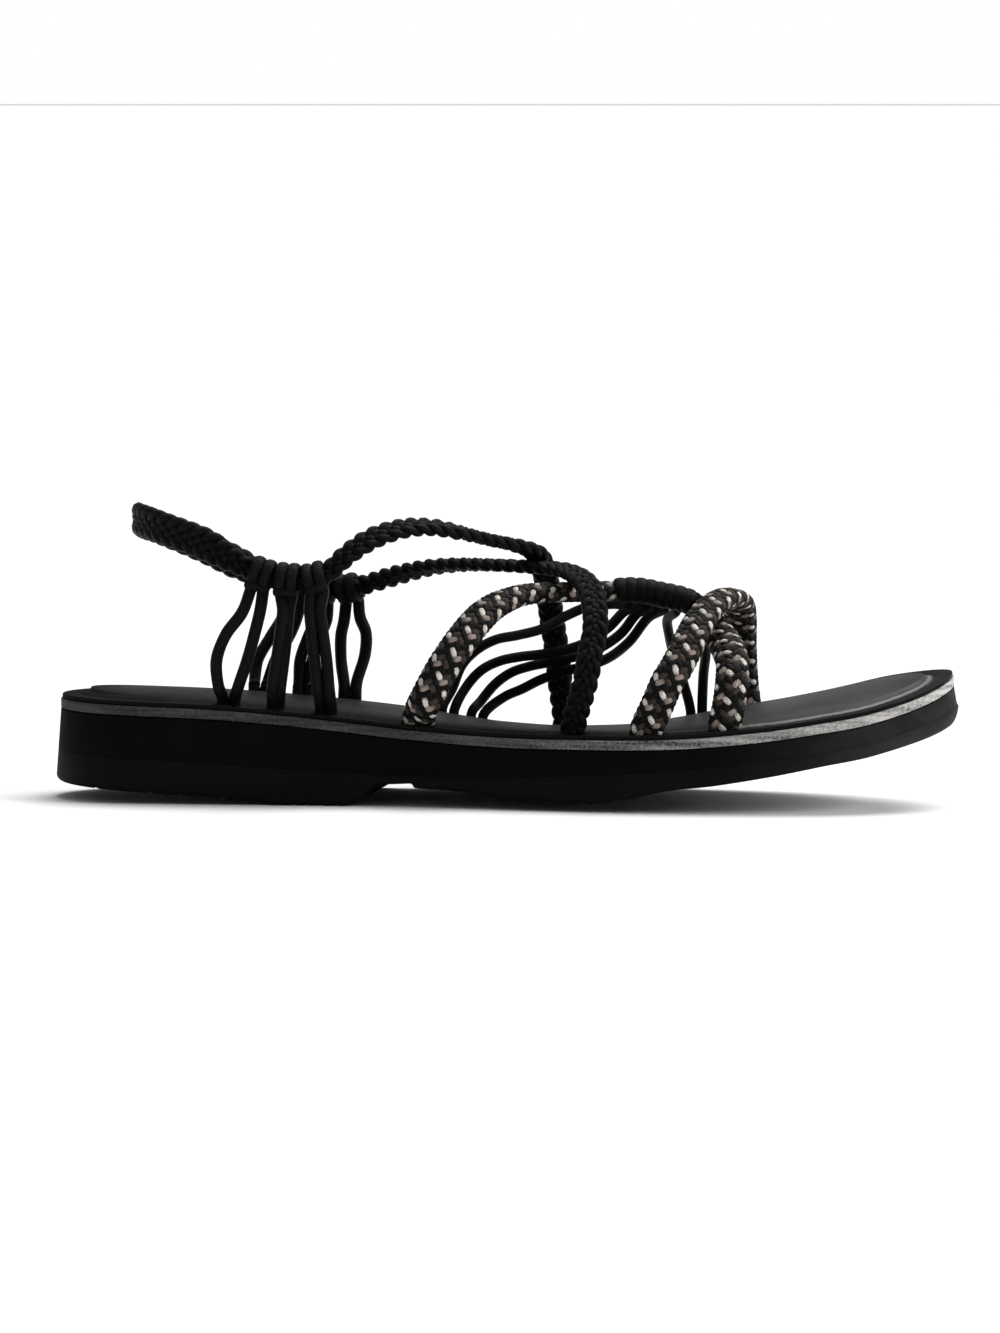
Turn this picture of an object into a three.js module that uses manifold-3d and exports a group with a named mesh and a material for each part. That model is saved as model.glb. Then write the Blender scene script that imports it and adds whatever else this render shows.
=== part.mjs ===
import * as THREE from 'three';
import { mergeVertices } from 'three/addons/utils/BufferGeometryUtils.js';
import Module from 'manifold-3d';

// Rope sandal for the left foot, standing on the floor.
// Millimetres. +X runs from heel to toe, -Y is the inner side, +Y the outer side, +Z up.
// The origin is on the floor, under the middle of the sole.

const wasm = await Module();
wasm.setup();

// Sole, real sizes
const soleLength = 254.5;
const ballWidth = 86;
const heelHeight = 27.5;
const heelEndRound = 30;
const toeEndRound = 46;
const toeEndFullness = 2.3;
const midsoleHeelThickness = 11.6;
const boardThickness = 2.7;
const soleFlare = 1.3;
const outsoleFlareShare = 0.4;
const coverThickness = 1.0;
const coverTrim = 0.4;
const padRise = 1.4;
const padBorder = 5.8;
const padShoulder = 2.6;
const treadEdgeRound = 1.8;
const toeEdgeRound = 5;
const toeRollStart = 0.8;
const thinnestEdge = 1;

// Straps, real sizes
const strapHeight = 80;
const heelLoopCentre = 0.215;
const braidWidth = 7.3;
const braidThickness = 3.8;
const heelBraidWidth = 9.4;
const gatheredWidth = 6.2;
const plaitLobe = 3.8;
const plaitValley = 0.82;
const ropeWidth = 9.2;
const ropeThickness = 5.6;
const ropeDiamond = 3.9;
const ropeRelief = 0.06;
const ropeGatherLength = 9;
const wrapDiameter = 7.4;
const wrapCord = 2.8;
const cordDiameter = 2.9;
const loopCord = 3.4;
const cordStep = 6.6;
const knotWidth = 6.2;
const knotWall = 1.5;
const knotValley = 0.92;
const boreEase = [1.08, 1.2];
const anchorInset = 7.6;

// Clearances
const gap = 0.3;
const slotClearance = 0.5;
const slotCorner = 0.5;

const materials = {
  rubber: new THREE.MeshStandardMaterial({ color: 0x121211, roughness: 0.72, metalness: 0 }),
  foam: new THREE.MeshStandardMaterial({ color: 0x0c0c0c, roughness: 0.8, metalness: 0 }),
  rawLeather: new THREE.MeshStandardMaterial({ color: 0x6e6c69, roughness: 0.85, metalness: 0 }),
  leather: new THREE.MeshStandardMaterial({ color: 0x2b2b2c, roughness: 0.55, metalness: 0 }),
  blackCord: new THREE.MeshStandardMaterial({ color: 0x141414, roughness: 0.8, metalness: 0 }),
  speckledRope: new THREE.MeshStandardMaterial({ color: 0x3a3532, roughness: 0.8, metalness: 0 }),
};

// Outline and top of the sole, from heel to toe.
// along is a share of soleLength, centre and half are shares of ballWidth, top is the height of the insole
// board over the floor as a share of heelHeight, twist is the fall of the top to the inner side in degrees,
// and midsole is a share of midsoleHeelThickness.
const soleRows = [
  { along: 0.00, centre: 0.00, half: 0.350, top: 1.010, twist: 0.0, midsole: 0.95 },
  { along: 0.12, centre: 0.00, half: 0.355, top: 0.985, twist: 0.0, midsole: 0.98 },
  { along: 0.19, centre: 0.00, half: 0.355, top: 0.960, twist: 0.0, midsole: 1.00 },
  { along: 0.27, centre: 0.01, half: 0.358, top: 0.905, twist: 0.0, midsole: 0.98 },
  { along: 0.33, centre: 0.02, half: 0.365, top: 0.850, twist: 0.0, midsole: 0.92 },
  { along: 0.38, centre: 0.03, half: 0.380, top: 0.795, twist: -0.2, midsole: 0.84 },
  { along: 0.43, centre: 0.03, half: 0.400, top: 0.735, twist: -1.4, midsole: 0.76 },
  { along: 0.49, centre: 0.03, half: 0.430, top: 0.675, twist: -2.6, midsole: 0.66 },
  { along: 0.56, centre: 0.02, half: 0.465, top: 0.645, twist: -3.1, midsole: 0.60 },
  { along: 0.62, centre: 0.01, half: 0.490, top: 0.655, twist: -2.6, midsole: 0.54 },
  { along: 0.68, centre: 0.00, half: 0.500, top: 0.710, twist: -0.8, midsole: 0.47 },
  { along: 0.74, centre: -0.01, half: 0.495, top: 0.790, twist: 1.0, midsole: 0.42 },
  { along: 0.80, centre: -0.02, half: 0.475, top: 0.875, twist: 2.1, midsole: 0.40 },
  { along: 0.86, centre: -0.03, half: 0.445, top: 0.985, twist: 3.4, midsole: 0.40 },
  { along: 0.92, centre: -0.05, half: 0.410, top: 1.120, twist: 5.4, midsole: 0.40 },
  { along: 0.97, centre: -0.06, half: 0.380, top: 1.245, twist: 5.8, midsole: 0.40 },
  { along: 1.00, centre: -0.07, half: 0.360, top: 1.340, twist: 4.8, midsole: 0.40 },
];

// Underside of the outsole on its middle line: lift over the floor as a share of heelHeight.
// The heel stands flat, its breast curves up to the arch, and the forepart rolls up to the toe.
const treadRows = [
  { along: 0.000, lift: 0.165 },
  { along: 0.060, lift: 0.135 },
  { along: 0.120, lift: 0.108 },
  { along: 0.190, lift: 0.070 },
  { along: 0.245, lift: 0.025 },
  { along: 0.262, lift: 0.000 },
  { along: 0.338, lift: 0.000 },
  { along: 0.348, lift: 0.025 },
  { along: 0.358, lift: 0.085 },
  { along: 0.367, lift: 0.160 },
  { along: 0.377, lift: 0.218 },
  { along: 0.411, lift: 0.220 },
  { along: 0.415, lift: 0.172 },
  { along: 0.450, lift: 0.140 },
  { along: 0.500, lift: 0.075 },
  { along: 0.540, lift: 0.022 },
  { along: 0.615, lift: 0.022 },
  { along: 0.650, lift: 0.085 },
  { along: 0.700, lift: 0.225 },
  { along: 0.750, lift: 0.315 },
  { along: 0.810, lift: 0.435 },
  { along: 0.880, lift: 0.600 },
  { along: 0.940, lift: 0.740 },
  { along: 1.000, lift: 0.870 },
];

// Value of one column at any place along the sole, by a cubic that never overshoots its rows
function column(rows, name) {
  const steps = rows.slice(1).map((row, i) => (row[name] - rows[i][name]) / (row.along - rows[i].along));
  const slopes = rows.map((row, i) => {
    const before = steps[Math.max(i - 1, 0)];
    const after = steps[Math.min(i, steps.length - 1)];
    if (before * after <= 0) return 0;
    return (2 * before * after) / (before + after);
  });
  return (along) => {
    const found = rows.findIndex((row) => row.along >= along);
    const end = Math.max(found, 1);
    const start = end - 1;
    const width = rows[end].along - rows[start].along;
    const t = Math.min(Math.max((along - rows[start].along) / width, 0), 1);
    const rise = rows[end][name] - rows[start][name];
    const a = slopes[start] * width;
    const b = slopes[end] * width;
    return rows[start][name] + a * t + (3 * rise - 2 * a - b) * t * t + (a + b - 2 * rise) * t * t * t;
  };
}

const centreShare = column(soleRows, 'centre');
const halfShare = column(soleRows, 'half');
const topShare = column(soleRows, 'top');
const twistDegrees = column(soleRows, 'twist');
const midsoleShare = column(soleRows, 'midsole');
const liftShare = column(treadRows, 'lift');

const alongOf = (x) => Math.min(Math.max(x / soleLength + 0.5, 0), 1);
const slopeAt = (x) => Math.tan(THREE.MathUtils.degToRad(twistDegrees(alongOf(x))));

// Heights of the surfaces that the layers of the sole share
const boardTop = (x, y) => heelHeight * topShare(alongOf(x)) + slopeAt(x) * y;
const boardBottom = (x, y) => boardTop(x, y) - boardThickness;
const midsoleTop = (x, y) => boardBottom(x, y) - gap;
const midsoleBottom = (x, y) => midsoleTop(x, y) - midsoleHeelThickness * midsoleShare(alongOf(x));
const outsoleTop = (x, y) => midsoleBottom(x, y) - gap;
const coverBottom = (x, y) => boardTop(x, y) + gap;
const coverTop = (x, y) => coverBottom(x, y) + coverThickness;
const padTop = (x, y) => coverTop(x, y) + padRise;
const tread = (x, y) => Math.max(heelHeight * liftShare(alongOf(x)) + slopeAt(x) * y, 0);

// Share of the full width left at a place along the sole, which closes both ends in a round
function endRound(along) {
  const fromHeel = (along * soleLength) / heelEndRound;
  const fromToe = ((1 - along) * soleLength) / toeEndRound;
  if (fromHeel < 1) return Math.sqrt(1 - (1 - fromHeel) ** 2);
  if (fromToe < 1) return (1 - (1 - fromToe) ** toeEndFullness) ** (1 / toeEndFullness);
  return 1;
}

// Stations along the sole: close together in the round ends and at the heel breast
function soleStations() {
  const endSteps = 7;
  const places = [...soleRows, ...treadRows].map((row) => row.along);
  for (let i = 0; i <= endSteps; i += 1) {
    const reach = 1 - Math.cos((Math.PI / 2) * (i / endSteps));
    places.push((heelEndRound * reach) / soleLength);
    places.push(1 - (toeEndRound * reach) / soleLength);
  }
  const closest = 0.008;
  const sorted = [...new Set(places)].sort((a, b) => a - b);
  const breast = treadRows.map((row) => row.along).filter((along) => along > 0.3 && along < 0.42);
  const isEnd = (along) => along < 0.03 || along > 0.97;
  return sorted.filter((along, i) => {
    const keep = i === 0 || breast.includes(along) || isEnd(along);
    return keep || along - sorted[i - 1] > closest;
  });
}

const stations = soleStations();

// Point of the outline drawn in by an inset; side is -1 on the inner edge, 1 on the outer edge
function edgePoint(along, side, inset) {
  const x = (along - 0.5) * (soleLength - 2 * inset);
  const half = (halfShare(along) * ballWidth - inset) * endRound(along);
  return [x, centreShare(along) * ballWidth + side * half];
}

// Grid of points across the sole between its two edges, at one inset and on one surface
function layer(inset, surface, columns = []) {
  const shares = [0, ...columns, 1];
  return stations.map((along) => {
    const [x, inner] = edgePoint(along, -1, inset);
    const [, outer] = edgePoint(along, 1, inset);
    return shares.map((share) => {
      const y = inner + (outer - inner) * share;
      return new THREE.Vector3(x, y, surface(x, y));
    });
  });
}

// Closed geometry from a list of triangles, with the ones that have no area left out
function faceted(triangles) {
  const positions = [];
  for (const [a, b, c] of triangles) {
    const flat = a.distanceTo(b) < 1e-6 || b.distanceTo(c) < 1e-6 || c.distanceTo(a) < 1e-6;
    if (!flat) positions.push(...a.toArray(), ...b.toArray(), ...c.toArray());
  }
  const geometry = new THREE.BufferGeometry();
  geometry.setAttribute('position', new THREE.Float32BufferAttribute(positions, 3));
  return geometry;
}

const quad = (a, b, c, d) => [[a, b, c], [a, c, d]];

// One layer of the sole: a bottom grid, rims from the bottom up to the top, and a top grid
function slab(rims, bottomColumns, topColumns) {
  const triangles = [];
  const first = rims[0];
  const last = rims[rims.length - 1];
  const bottom = layer(first.inset, first.surface, bottomColumns);
  const top = layer(last.inset, last.surface, topColumns);
  for (let i = 0; i < stations.length - 1; i += 1) {
    for (let j = 0; j < bottom[i].length - 1; j += 1) {
      triangles.push(...quad(bottom[i][j], bottom[i][j + 1], bottom[i + 1][j + 1], bottom[i + 1][j]));
    }
    for (let j = 0; j < top[i].length - 1; j += 1) {
      triangles.push(...quad(top[i][j], top[i + 1][j], top[i + 1][j + 1], top[i][j + 1]));
    }
  }
  for (let r = 0; r < rims.length - 1; r += 1) {
    const low = layer(rims[r].inset, rims[r].surface);
    const high = layer(rims[r + 1].inset, rims[r + 1].surface);
    for (let i = 0; i < stations.length - 1; i += 1) {
      triangles.push(...quad(low[i][0], low[i + 1][0], high[i + 1][0], high[i][0]));
      triangles.push(...quad(low[i + 1][1], low[i][1], high[i][1], high[i + 1][1]));
    }
  }
  return faceted(triangles);
}

// Solid and back, for the joins and cuts
function toSolid(geometry) {
  const bare = new THREE.BufferGeometry();
  bare.setAttribute('position', geometry.getAttribute('position').clone());
  if (geometry.index) bare.setIndex(geometry.index.clone());
  const merged = mergeVertices(bare, 1e-4);
  return new wasm.Manifold(new wasm.Mesh({
    numProp: 3,
    vertProperties: Float32Array.from(merged.getAttribute('position').array),
    triVerts: Uint32Array.from(merged.index.array),
  }));
}

function toGeometry(solid) {
  const mesh = solid.getMesh();
  const geometry = new THREE.BufferGeometry();
  geometry.setAttribute('position', new THREE.Float32BufferAttribute(mesh.vertProperties, 3));
  geometry.setIndex(new THREE.Uint32BufferAttribute(mesh.triVerts, 1));
  return geometry;
}

// Outsole with its heel: the lower edge is rounded, and more so where the toe rolls up
function outsole() {
  const roundAt = (x) => {
    const toeShare = Math.max((alongOf(x) - toeRollStart) / (1 - toeRollStart), 0);
    return THREE.MathUtils.lerp(treadEdgeRound, toeEdgeRound, toeShare);
  };
  const lowEdge = (x, y) => Math.min(tread(x, y) + roundAt(x), outsoleTop(x, y) - thinnestEdge);
  const rims = [
    { inset: treadEdgeRound, surface: tread },
    { inset: 0, surface: lowEdge },
    { inset: soleFlare * outsoleFlareShare, surface: outsoleTop },
  ];
  return slab(rims, [0.25, 0.5, 0.75], []);
}

function midsole() {
  const rims = [
    { inset: soleFlare * outsoleFlareShare, surface: midsoleBottom },
    { inset: soleFlare, surface: midsoleTop },
  ];
  return slab(rims, [], []);
}

function insoleBoard() {
  return slab([{ inset: soleFlare, surface: boardBottom }, { inset: soleFlare, surface: boardTop }], [], []);
}

// Leather footbed: a thin flat border and a padded middle that stands up from it
function footbed() {
  const rims = [
    { inset: soleFlare + coverTrim, surface: coverBottom },
    { inset: soleFlare + coverTrim, surface: coverTop },
    { inset: soleFlare + padBorder, surface: coverTop },
    { inset: soleFlare + padBorder + padShoulder, surface: padTop },
  ];
  return slab(rims, [], []);
}

// Where a strap of this width goes down into the sole: on the anchor line, inside one edge.
// Its flat end stands clear of the highest point of the sloping midsole under it.
function anchor(along, side, width) {
  const share = 0.5 + ((along - 0.5) * soleLength) / (soleLength - 2 * anchorInset);
  const [x, y] = edgePoint(share, side, anchorInset);
  const corners = [-1, 1].flatMap((i) => [-1, 1].map((j) => midsoleTop(x + (i * width) / 2, y + (j * width) / 2)));
  return new THREE.Vector3(x, y, Math.max(...corners) + gap);
}

// The last stretch of a strap stands straight up out of its slot
const slotExit = (foot) => foot.clone().setZ(padTop(foot.x, foot.y) + gap);

// A strap's way points are shares: along the sole, across half the ball width, up the strap height
const place = ([along, across, up]) => new THREE.Vector3(
  (along - 0.5) * soleLength,
  (across * ballWidth) / 2,
  up * strapHeight,
);

const curveThrough = (points) => new THREE.CatmullRomCurve3(points, false, 'centripetal');

// Outward direction of a flat strap: level at the heel and the sides, and straight up over the instep
function outward(point, lean) {
  const heelCentre = (heelLoopCentre - 0.5) * soleLength;
  const reach = ballWidth / 4;
  const level = new THREE.Vector3(Math.min(point.x - heelCentre, 0), point.y, 0).divideScalar(reach);
  if (level.length() > 1) level.normalize();
  const angle = THREE.MathUtils.degToRad(lean);
  return level.multiplyScalar(Math.cos(angle)).setZ(Math.sin(angle));
}

// Sweep of a section along a curve. section(k, t) gives the points of step k as [across, out],
// counter-clockwise seen against the direction of travel, and lean(t) turns the flat of the strap.
function sweep(curve, steps, section, lean) {
  const rings = [];
  for (let k = 0; k <= steps; k += 1) {
    const t = k / steps;
    const centre = curve.getPointAt(t);
    const along = curve.getTangentAt(t);
    const out = outward(centre, lean(t)).projectOnPlane(along).normalize();
    const across = new THREE.Vector3().crossVectors(out, along);
    rings.push(section(k, t).map(([a, o]) => centre.clone()
      .addScaledVector(across, a).addScaledVector(out, o)));
  }
  const triangles = [];
  const count = rings[0].length;
  for (let k = 0; k < steps; k += 1) {
    for (let i = 0; i < count; i += 1) {
      const j = (i + 1) % count;
      triangles.push(...quad(rings[k][i], rings[k][j], rings[k + 1][j], rings[k + 1][i]));
    }
  }
  for (let i = 1; i < count - 1; i += 1) {
    triangles.push([rings[0][0], rings[0][i + 1], rings[0][i]]);
    triangles.push([rings[steps][0], rings[steps][i], rings[steps][i + 1]]);
  }
  return faceted(triangles);
}

// Oval section with its corners set in and out by turns, as the diamonds of a braided rope
function ovalSection(width, thickness, relief) {
  const sides = 8;
  return (k) => Array.from({ length: sides }, (_, i) => {
    const angle = (2 * Math.PI * i) / sides;
    const scale = 1 - relief * ((i + k) % 2);
    return [(width / 2) * scale * Math.cos(angle), (thickness / 2) * scale * Math.sin(angle)];
  });
}

// Flat plait: lobes stand out on the left and right edge by turns, with ridges on both faces
function plaitSection(widthAt, thickness) {
  return (k, t) => {
    const left = k % 2 ? plaitValley : 1;
    const right = k % 2 ? 1 : plaitValley;
    const half = widthAt(t) / 2;
    const ridge = half / 2;
    const rise = thickness / 2;
    return [
      [half * right, 0],
      [ridge, rise * left],
      [-ridge, rise * right],
      [-half * left, 0],
      [-ridge, -rise * right],
      [ridge, -rise * left],
    ];
  };
}

// Runs of the straps, from the photographed shape. Columns: along, across, up as above, and lean in degrees.
// The first braid goes from behind the heel along the inner ankle, over the instep and down the outer side.
const innerAnkleRun = [
  [0.091, -0.02, 0.975, 0],
  [0.098, -0.16, 0.975, 0],
  [0.116, -0.33, 0.966, 0],
  [0.139, -0.44, 0.946, 0],
  [0.179, -0.53, 0.904, 0],
  [0.214, -0.58, 0.846, 0],
  [0.245, -0.60, 0.800, 5],
  [0.276, -0.62, 0.783, 10],
  [0.304, -0.62, 0.788, 20],
  [0.321, -0.61, 0.818, 32],
  [0.339, -0.58, 0.872, 42],
  [0.364, -0.52, 0.925, 48],
  [0.395, -0.44, 0.958, 54],
  [0.424, -0.35, 0.962, 60],
  [0.455, -0.26, 0.941, 66],
  [0.485, -0.13, 0.912, 74],
  [0.512, -0.02, 0.886, 82],
  [0.529, 0.12, 0.862, 72],
  [0.535, 0.30, 0.800, 58],
  [0.536, 0.51, 0.710, 40],
  [0.536, 0.69, 0.610, 20],
  [0.539, 0.77, 0.514, 5],
  [0.542, 0.84, 0.387, 0],
];
const innerAnkleFoot = { along: 0.549, side: 1 };

// The second braid goes from behind the heel along the outer ankle, under the first one on the instep
// and down the inner side
const outerAnkleRun = [
  [0.090, 0.02, 0.973, 0],
  [0.091, 0.19, 0.955, 0],
  [0.100, 0.33, 0.938, 0],
  [0.115, 0.44, 0.912, 0],
  [0.150, 0.53, 0.860, 0],
  [0.185, 0.58, 0.803, 0],
  [0.213, 0.60, 0.762, 5],
  [0.244, 0.62, 0.736, 10],
  [0.275, 0.62, 0.718, 15],
  [0.306, 0.60, 0.712, 32],
  [0.335, 0.56, 0.735, 46],
  [0.371, 0.49, 0.770, 56],
  [0.406, 0.41, 0.797, 66],
  [0.441, 0.33, 0.810, 73],
  [0.489, 0.21, 0.813, 80],
  [0.530, 0.09, 0.811, 82],
  [0.563, -0.05, 0.808, 80],
  [0.586, -0.21, 0.786, 66],
  [0.601, -0.37, 0.746, 50],
  [0.609, -0.53, 0.691, 35],
  [0.612, -0.64, 0.636, 22],
  [0.611, -0.71, 0.580, 10],
  [0.609, -0.77, 0.537, 5],
  [0.605, -0.81, 0.452, 0],
];
const outerAnkleFoot = { along: 0.590, side: -1 };

// Speckled rope from the inner edge up under the crossing to the wrap
const rearRopeFoot = { along: 0.416, side: -1 };
const rearRopeRun = [
  [0.429, -0.72, 0.381, 0],
  [0.446, -0.72, 0.482, 5],
  [0.454, -0.70, 0.523, 10],
  [0.464, -0.65, 0.573, 18],
  [0.475, -0.57, 0.623, 28],
  [0.487, -0.47, 0.668, 40],
  [0.502, -0.35, 0.701, 55],
  [0.521, -0.23, 0.722, 68],
  [0.546, -0.12, 0.729, 80],
  [0.577, -0.05, 0.730, 85],
  [0.604, -0.02, 0.732, 85],
  [0.621, 0.00, 0.733, 85],
];

const wrapRun = [
  [0.624, 0.00, 0.734, 85],
  [0.640, 0.00, 0.737, 85],
  [0.654, 0.00, 0.733, 85],
  [0.670, -0.01, 0.723, 82],
  [0.693, -0.03, 0.709, 78],
  [0.710, -0.07, 0.692, 75],
];

// Speckled rope from the wrap down to the inner edge, under the toe rope
const frontRopeRun = [
  [0.7145, -0.08, 0.685, 75],
  [0.725, -0.13, 0.647, 72],
  [0.737, -0.22, 0.606, 60],
  [0.748, -0.37, 0.569, 42],
  [0.756, -0.53, 0.542, 25],
  [0.762, -0.67, 0.506, 8],
  [0.763, -0.77, 0.444, 0],
  [0.761, -0.81, 0.374, 0],
];
const frontRopeFoot = { along: 0.757, side: -1 };

// Speckled toe rope, one arch from the inner edge over to the outer edge
const toeRopeFeet = [{ along: 0.672, side: -1 }, { along: 0.750, side: 1 }];
const toeRopeRun = [
  [0.682, -0.83, 0.358, 0],
  [0.694, -0.81, 0.448, 5],
  [0.702, -0.78, 0.491, 10],
  [0.708, -0.72, 0.531, 18],
  [0.713, -0.65, 0.570, 28],
  [0.718, -0.56, 0.612, 38],
  [0.724, -0.43, 0.655, 52],
  [0.732, -0.28, 0.691, 66],
  [0.741, -0.12, 0.712, 80],
  [0.748, 0.07, 0.708, 85],
  [0.752, 0.26, 0.682, 66],
  [0.751, 0.44, 0.630, 44],
  [0.748, 0.62, 0.543, 22],
  [0.747, 0.73, 0.450, 5],
  [0.748, 0.78, 0.367, 0],
];

// A strap's curve and its lean, from its run and the feet at its ends.
// A foot adds the upright stretch in its slot, where the strap stands flat along the edge of the sole.
function strap(run, width, { start, end } = {}) {
  const rows = run.map((row) => ({ point: place(row), lean: row[3] }));
  if (start) {
    const foot = anchor(start.along, start.side, width);
    rows.unshift({ point: foot, lean: 0 }, { point: slotExit(foot), lean: 0 });
  }
  if (end) {
    const foot = anchor(end.along, end.side, width);
    rows.push({ point: slotExit(foot), lean: 0 }, { point: foot, lean: 0 });
  }
  let travelled = 0;
  const leans = rows.map(({ point, lean }, i) => {
    if (i) travelled += point.distanceTo(rows[i - 1].point);
    return { along: travelled, lean };
  });
  const lean = column(leans, 'lean');
  return { curve: curveThrough(rows.map(({ point }) => point)), lean: (t) => lean(t * travelled) };
}

const innerAnkle = strap(innerAnkleRun, braidWidth, { end: innerAnkleFoot });
const outerAnkle = strap(outerAnkleRun, braidWidth, { end: outerAnkleFoot });
const wrapped = strap(wrapRun, wrapDiameter);

// Width of the plaits: widest round the heel and gathered where the cord loops hold them
const plaitRows = [
  { along: 0.00, width: heelBraidWidth },
  { along: 0.18, width: heelBraidWidth },
  { along: 0.23, width: gatheredWidth },
  { along: 0.32, width: gatheredWidth },
  { along: 0.37, width: braidWidth },
  { along: 1.00, width: braidWidth },
];
const plaitWidth = column(plaitRows, 'width');

function plait({ curve, lean }) {
  const steps = Math.round(curve.getLength() / (plaitLobe / 2));
  const widthAt = (t) => plaitWidth(alongOf(curve.getPointAt(t).x));
  return sweep(curve, steps, plaitSection(widthAt, braidThickness), lean);
}

// The two braids are joined behind the heel and where they cross on the instep
function braidedStraps() {
  return toGeometry(toSolid(plait(innerAnkle)).add(toSolid(plait(outerAnkle))));
}

// A rope gathers into the wrap at one end: wrapEnd is 0 at the start of its run, 1 at the end
function rope({ curve, lean }, wrapEnd) {
  const length = curve.getLength();
  const steps = Math.round(length / ropeDiamond);
  const section = (k, t) => {
    const away = length * (wrapEnd ? 1 - t : t);
    const open = wrapEnd === undefined ? 1 : THREE.MathUtils.smoothstep(away, 0, ropeGatherLength);
    return ovalSection(THREE.MathUtils.lerp(ropeThickness, ropeWidth, open), ropeThickness, ropeRelief)(k);
  };
  return sweep(curve, steps, section, lean);
}

// Cord wound round the middle of the ropes: each turn is a ridge
function centreWrap() {
  const turns = Math.round(wrapped.curve.getLength() / wrapCord);
  const valley = wrapDiameter - wrapCord / 2;
  const section = (k) => {
    const size = k % 2 ? wrapDiameter : valley;
    return ovalSection(size, size, 0)(k);
  };
  return sweep(wrapped.curve, 2 * turns, section, wrapped.lean);
}

// Plain round cord through a list of points
function cord(points, diameter) {
  const sides = 6;
  const curve = curveThrough(points);
  const corners = Array.from({ length: sides }, (_, i) => {
    const angle = (2 * Math.PI * i) / sides;
    return new THREE.Vector2(Math.cos(angle), Math.sin(angle)).multiplyScalar(diameter / 2);
  });
  const steps = Math.max(Math.round(curve.getLength() / cordStep), 3);
  return new THREE.ExtrudeGeometry(new THREE.Shape(corners), { steps, extrudePath: curve });
}

// Cord loops that hang the heel strap from the sole, three on each side.
// knot and foot are shares of soleLength, and each strand bows by its own way points.
const loops = [
  {
    name: 'inner_loop_1', ankle: innerAnkle, side: -1, knot: 0.244, foot: 0.206,
    strands: [
      [[0.224, -0.64, 0.670], [0.206, -0.66, 0.590], [0.196, -0.66, 0.503], [0.197, -0.62, 0.410]],
      [[0.244, -0.64, 0.680], [0.239, -0.65, 0.610], [0.230, -0.65, 0.507], [0.219, -0.62, 0.411]],
    ],
  },
  {
    name: 'inner_loop_2', ankle: innerAnkle, side: -1, knot: 0.274, foot: 0.258,
    strands: [
      [[0.266, -0.65, 0.680], [0.264, -0.66, 0.610], [0.259, -0.65, 0.504], [0.254, -0.62, 0.410]],
      [[0.279, -0.65, 0.680], [0.277, -0.66, 0.610], [0.273, -0.65, 0.505], [0.268, -0.62, 0.400]],
    ],
  },
  {
    name: 'inner_loop_3', ankle: innerAnkle, side: -1, knot: 0.303, foot: 0.313,
    strands: [
      [[0.298, -0.65, 0.680], [0.300, -0.66, 0.610], [0.303, -0.65, 0.505], [0.306, -0.62, 0.400]],
      [[0.311, -0.65, 0.680], [0.314, -0.66, 0.610], [0.318, -0.65, 0.506], [0.320, -0.62, 0.400]],
    ],
  },
  {
    name: 'outer_loop_1', ankle: outerAnkle, side: 1, knot: 0.252, foot: 0.212,
    strands: [
      [[0.233, 0.64, 0.600], [0.220, 0.66, 0.535], [0.206, 0.66, 0.455], [0.204, 0.60, 0.380]],
      [[0.251, 0.64, 0.610], [0.243, 0.66, 0.550], [0.226, 0.66, 0.456], [0.219, 0.60, 0.380]],
    ],
  },
  {
    name: 'outer_loop_2', ankle: outerAnkle, side: 1, knot: 0.281, foot: 0.260,
    strands: [
      [[0.270, 0.65, 0.600], [0.262, 0.66, 0.540], [0.253, 0.66, 0.457], [0.253, 0.60, 0.375]],
      [[0.285, 0.65, 0.600], [0.278, 0.66, 0.545], [0.269, 0.66, 0.457], [0.266, 0.60, 0.375]],
    ],
  },
  {
    name: 'outer_loop_3', ankle: outerAnkle, side: 1, knot: 0.310, foot: 0.312,
    strands: [
      [[0.304, 0.64, 0.600], [0.300, 0.66, 0.545], [0.300, 0.66, 0.458], [0.305, 0.60, 0.370]],
      [[0.322, 0.64, 0.610], [0.328, 0.66, 0.555], [0.327, 0.66, 0.480], [0.319, 0.60, 0.380]],
    ],
  },
];

// Share of the way along a strap at which its ankle stretch reaches a place along the sole
function wayTo(curve, along) {
  const x = (along - 0.5) * soleLength;
  let low = 0.1;
  let high = 0.45;
  for (let i = 0; i < 30; i += 1) {
    const middle = (low + high) / 2;
    if (curve.getPointAt(middle).x < x) low = middle;
    else high = middle;
  }
  return low;
}

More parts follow.
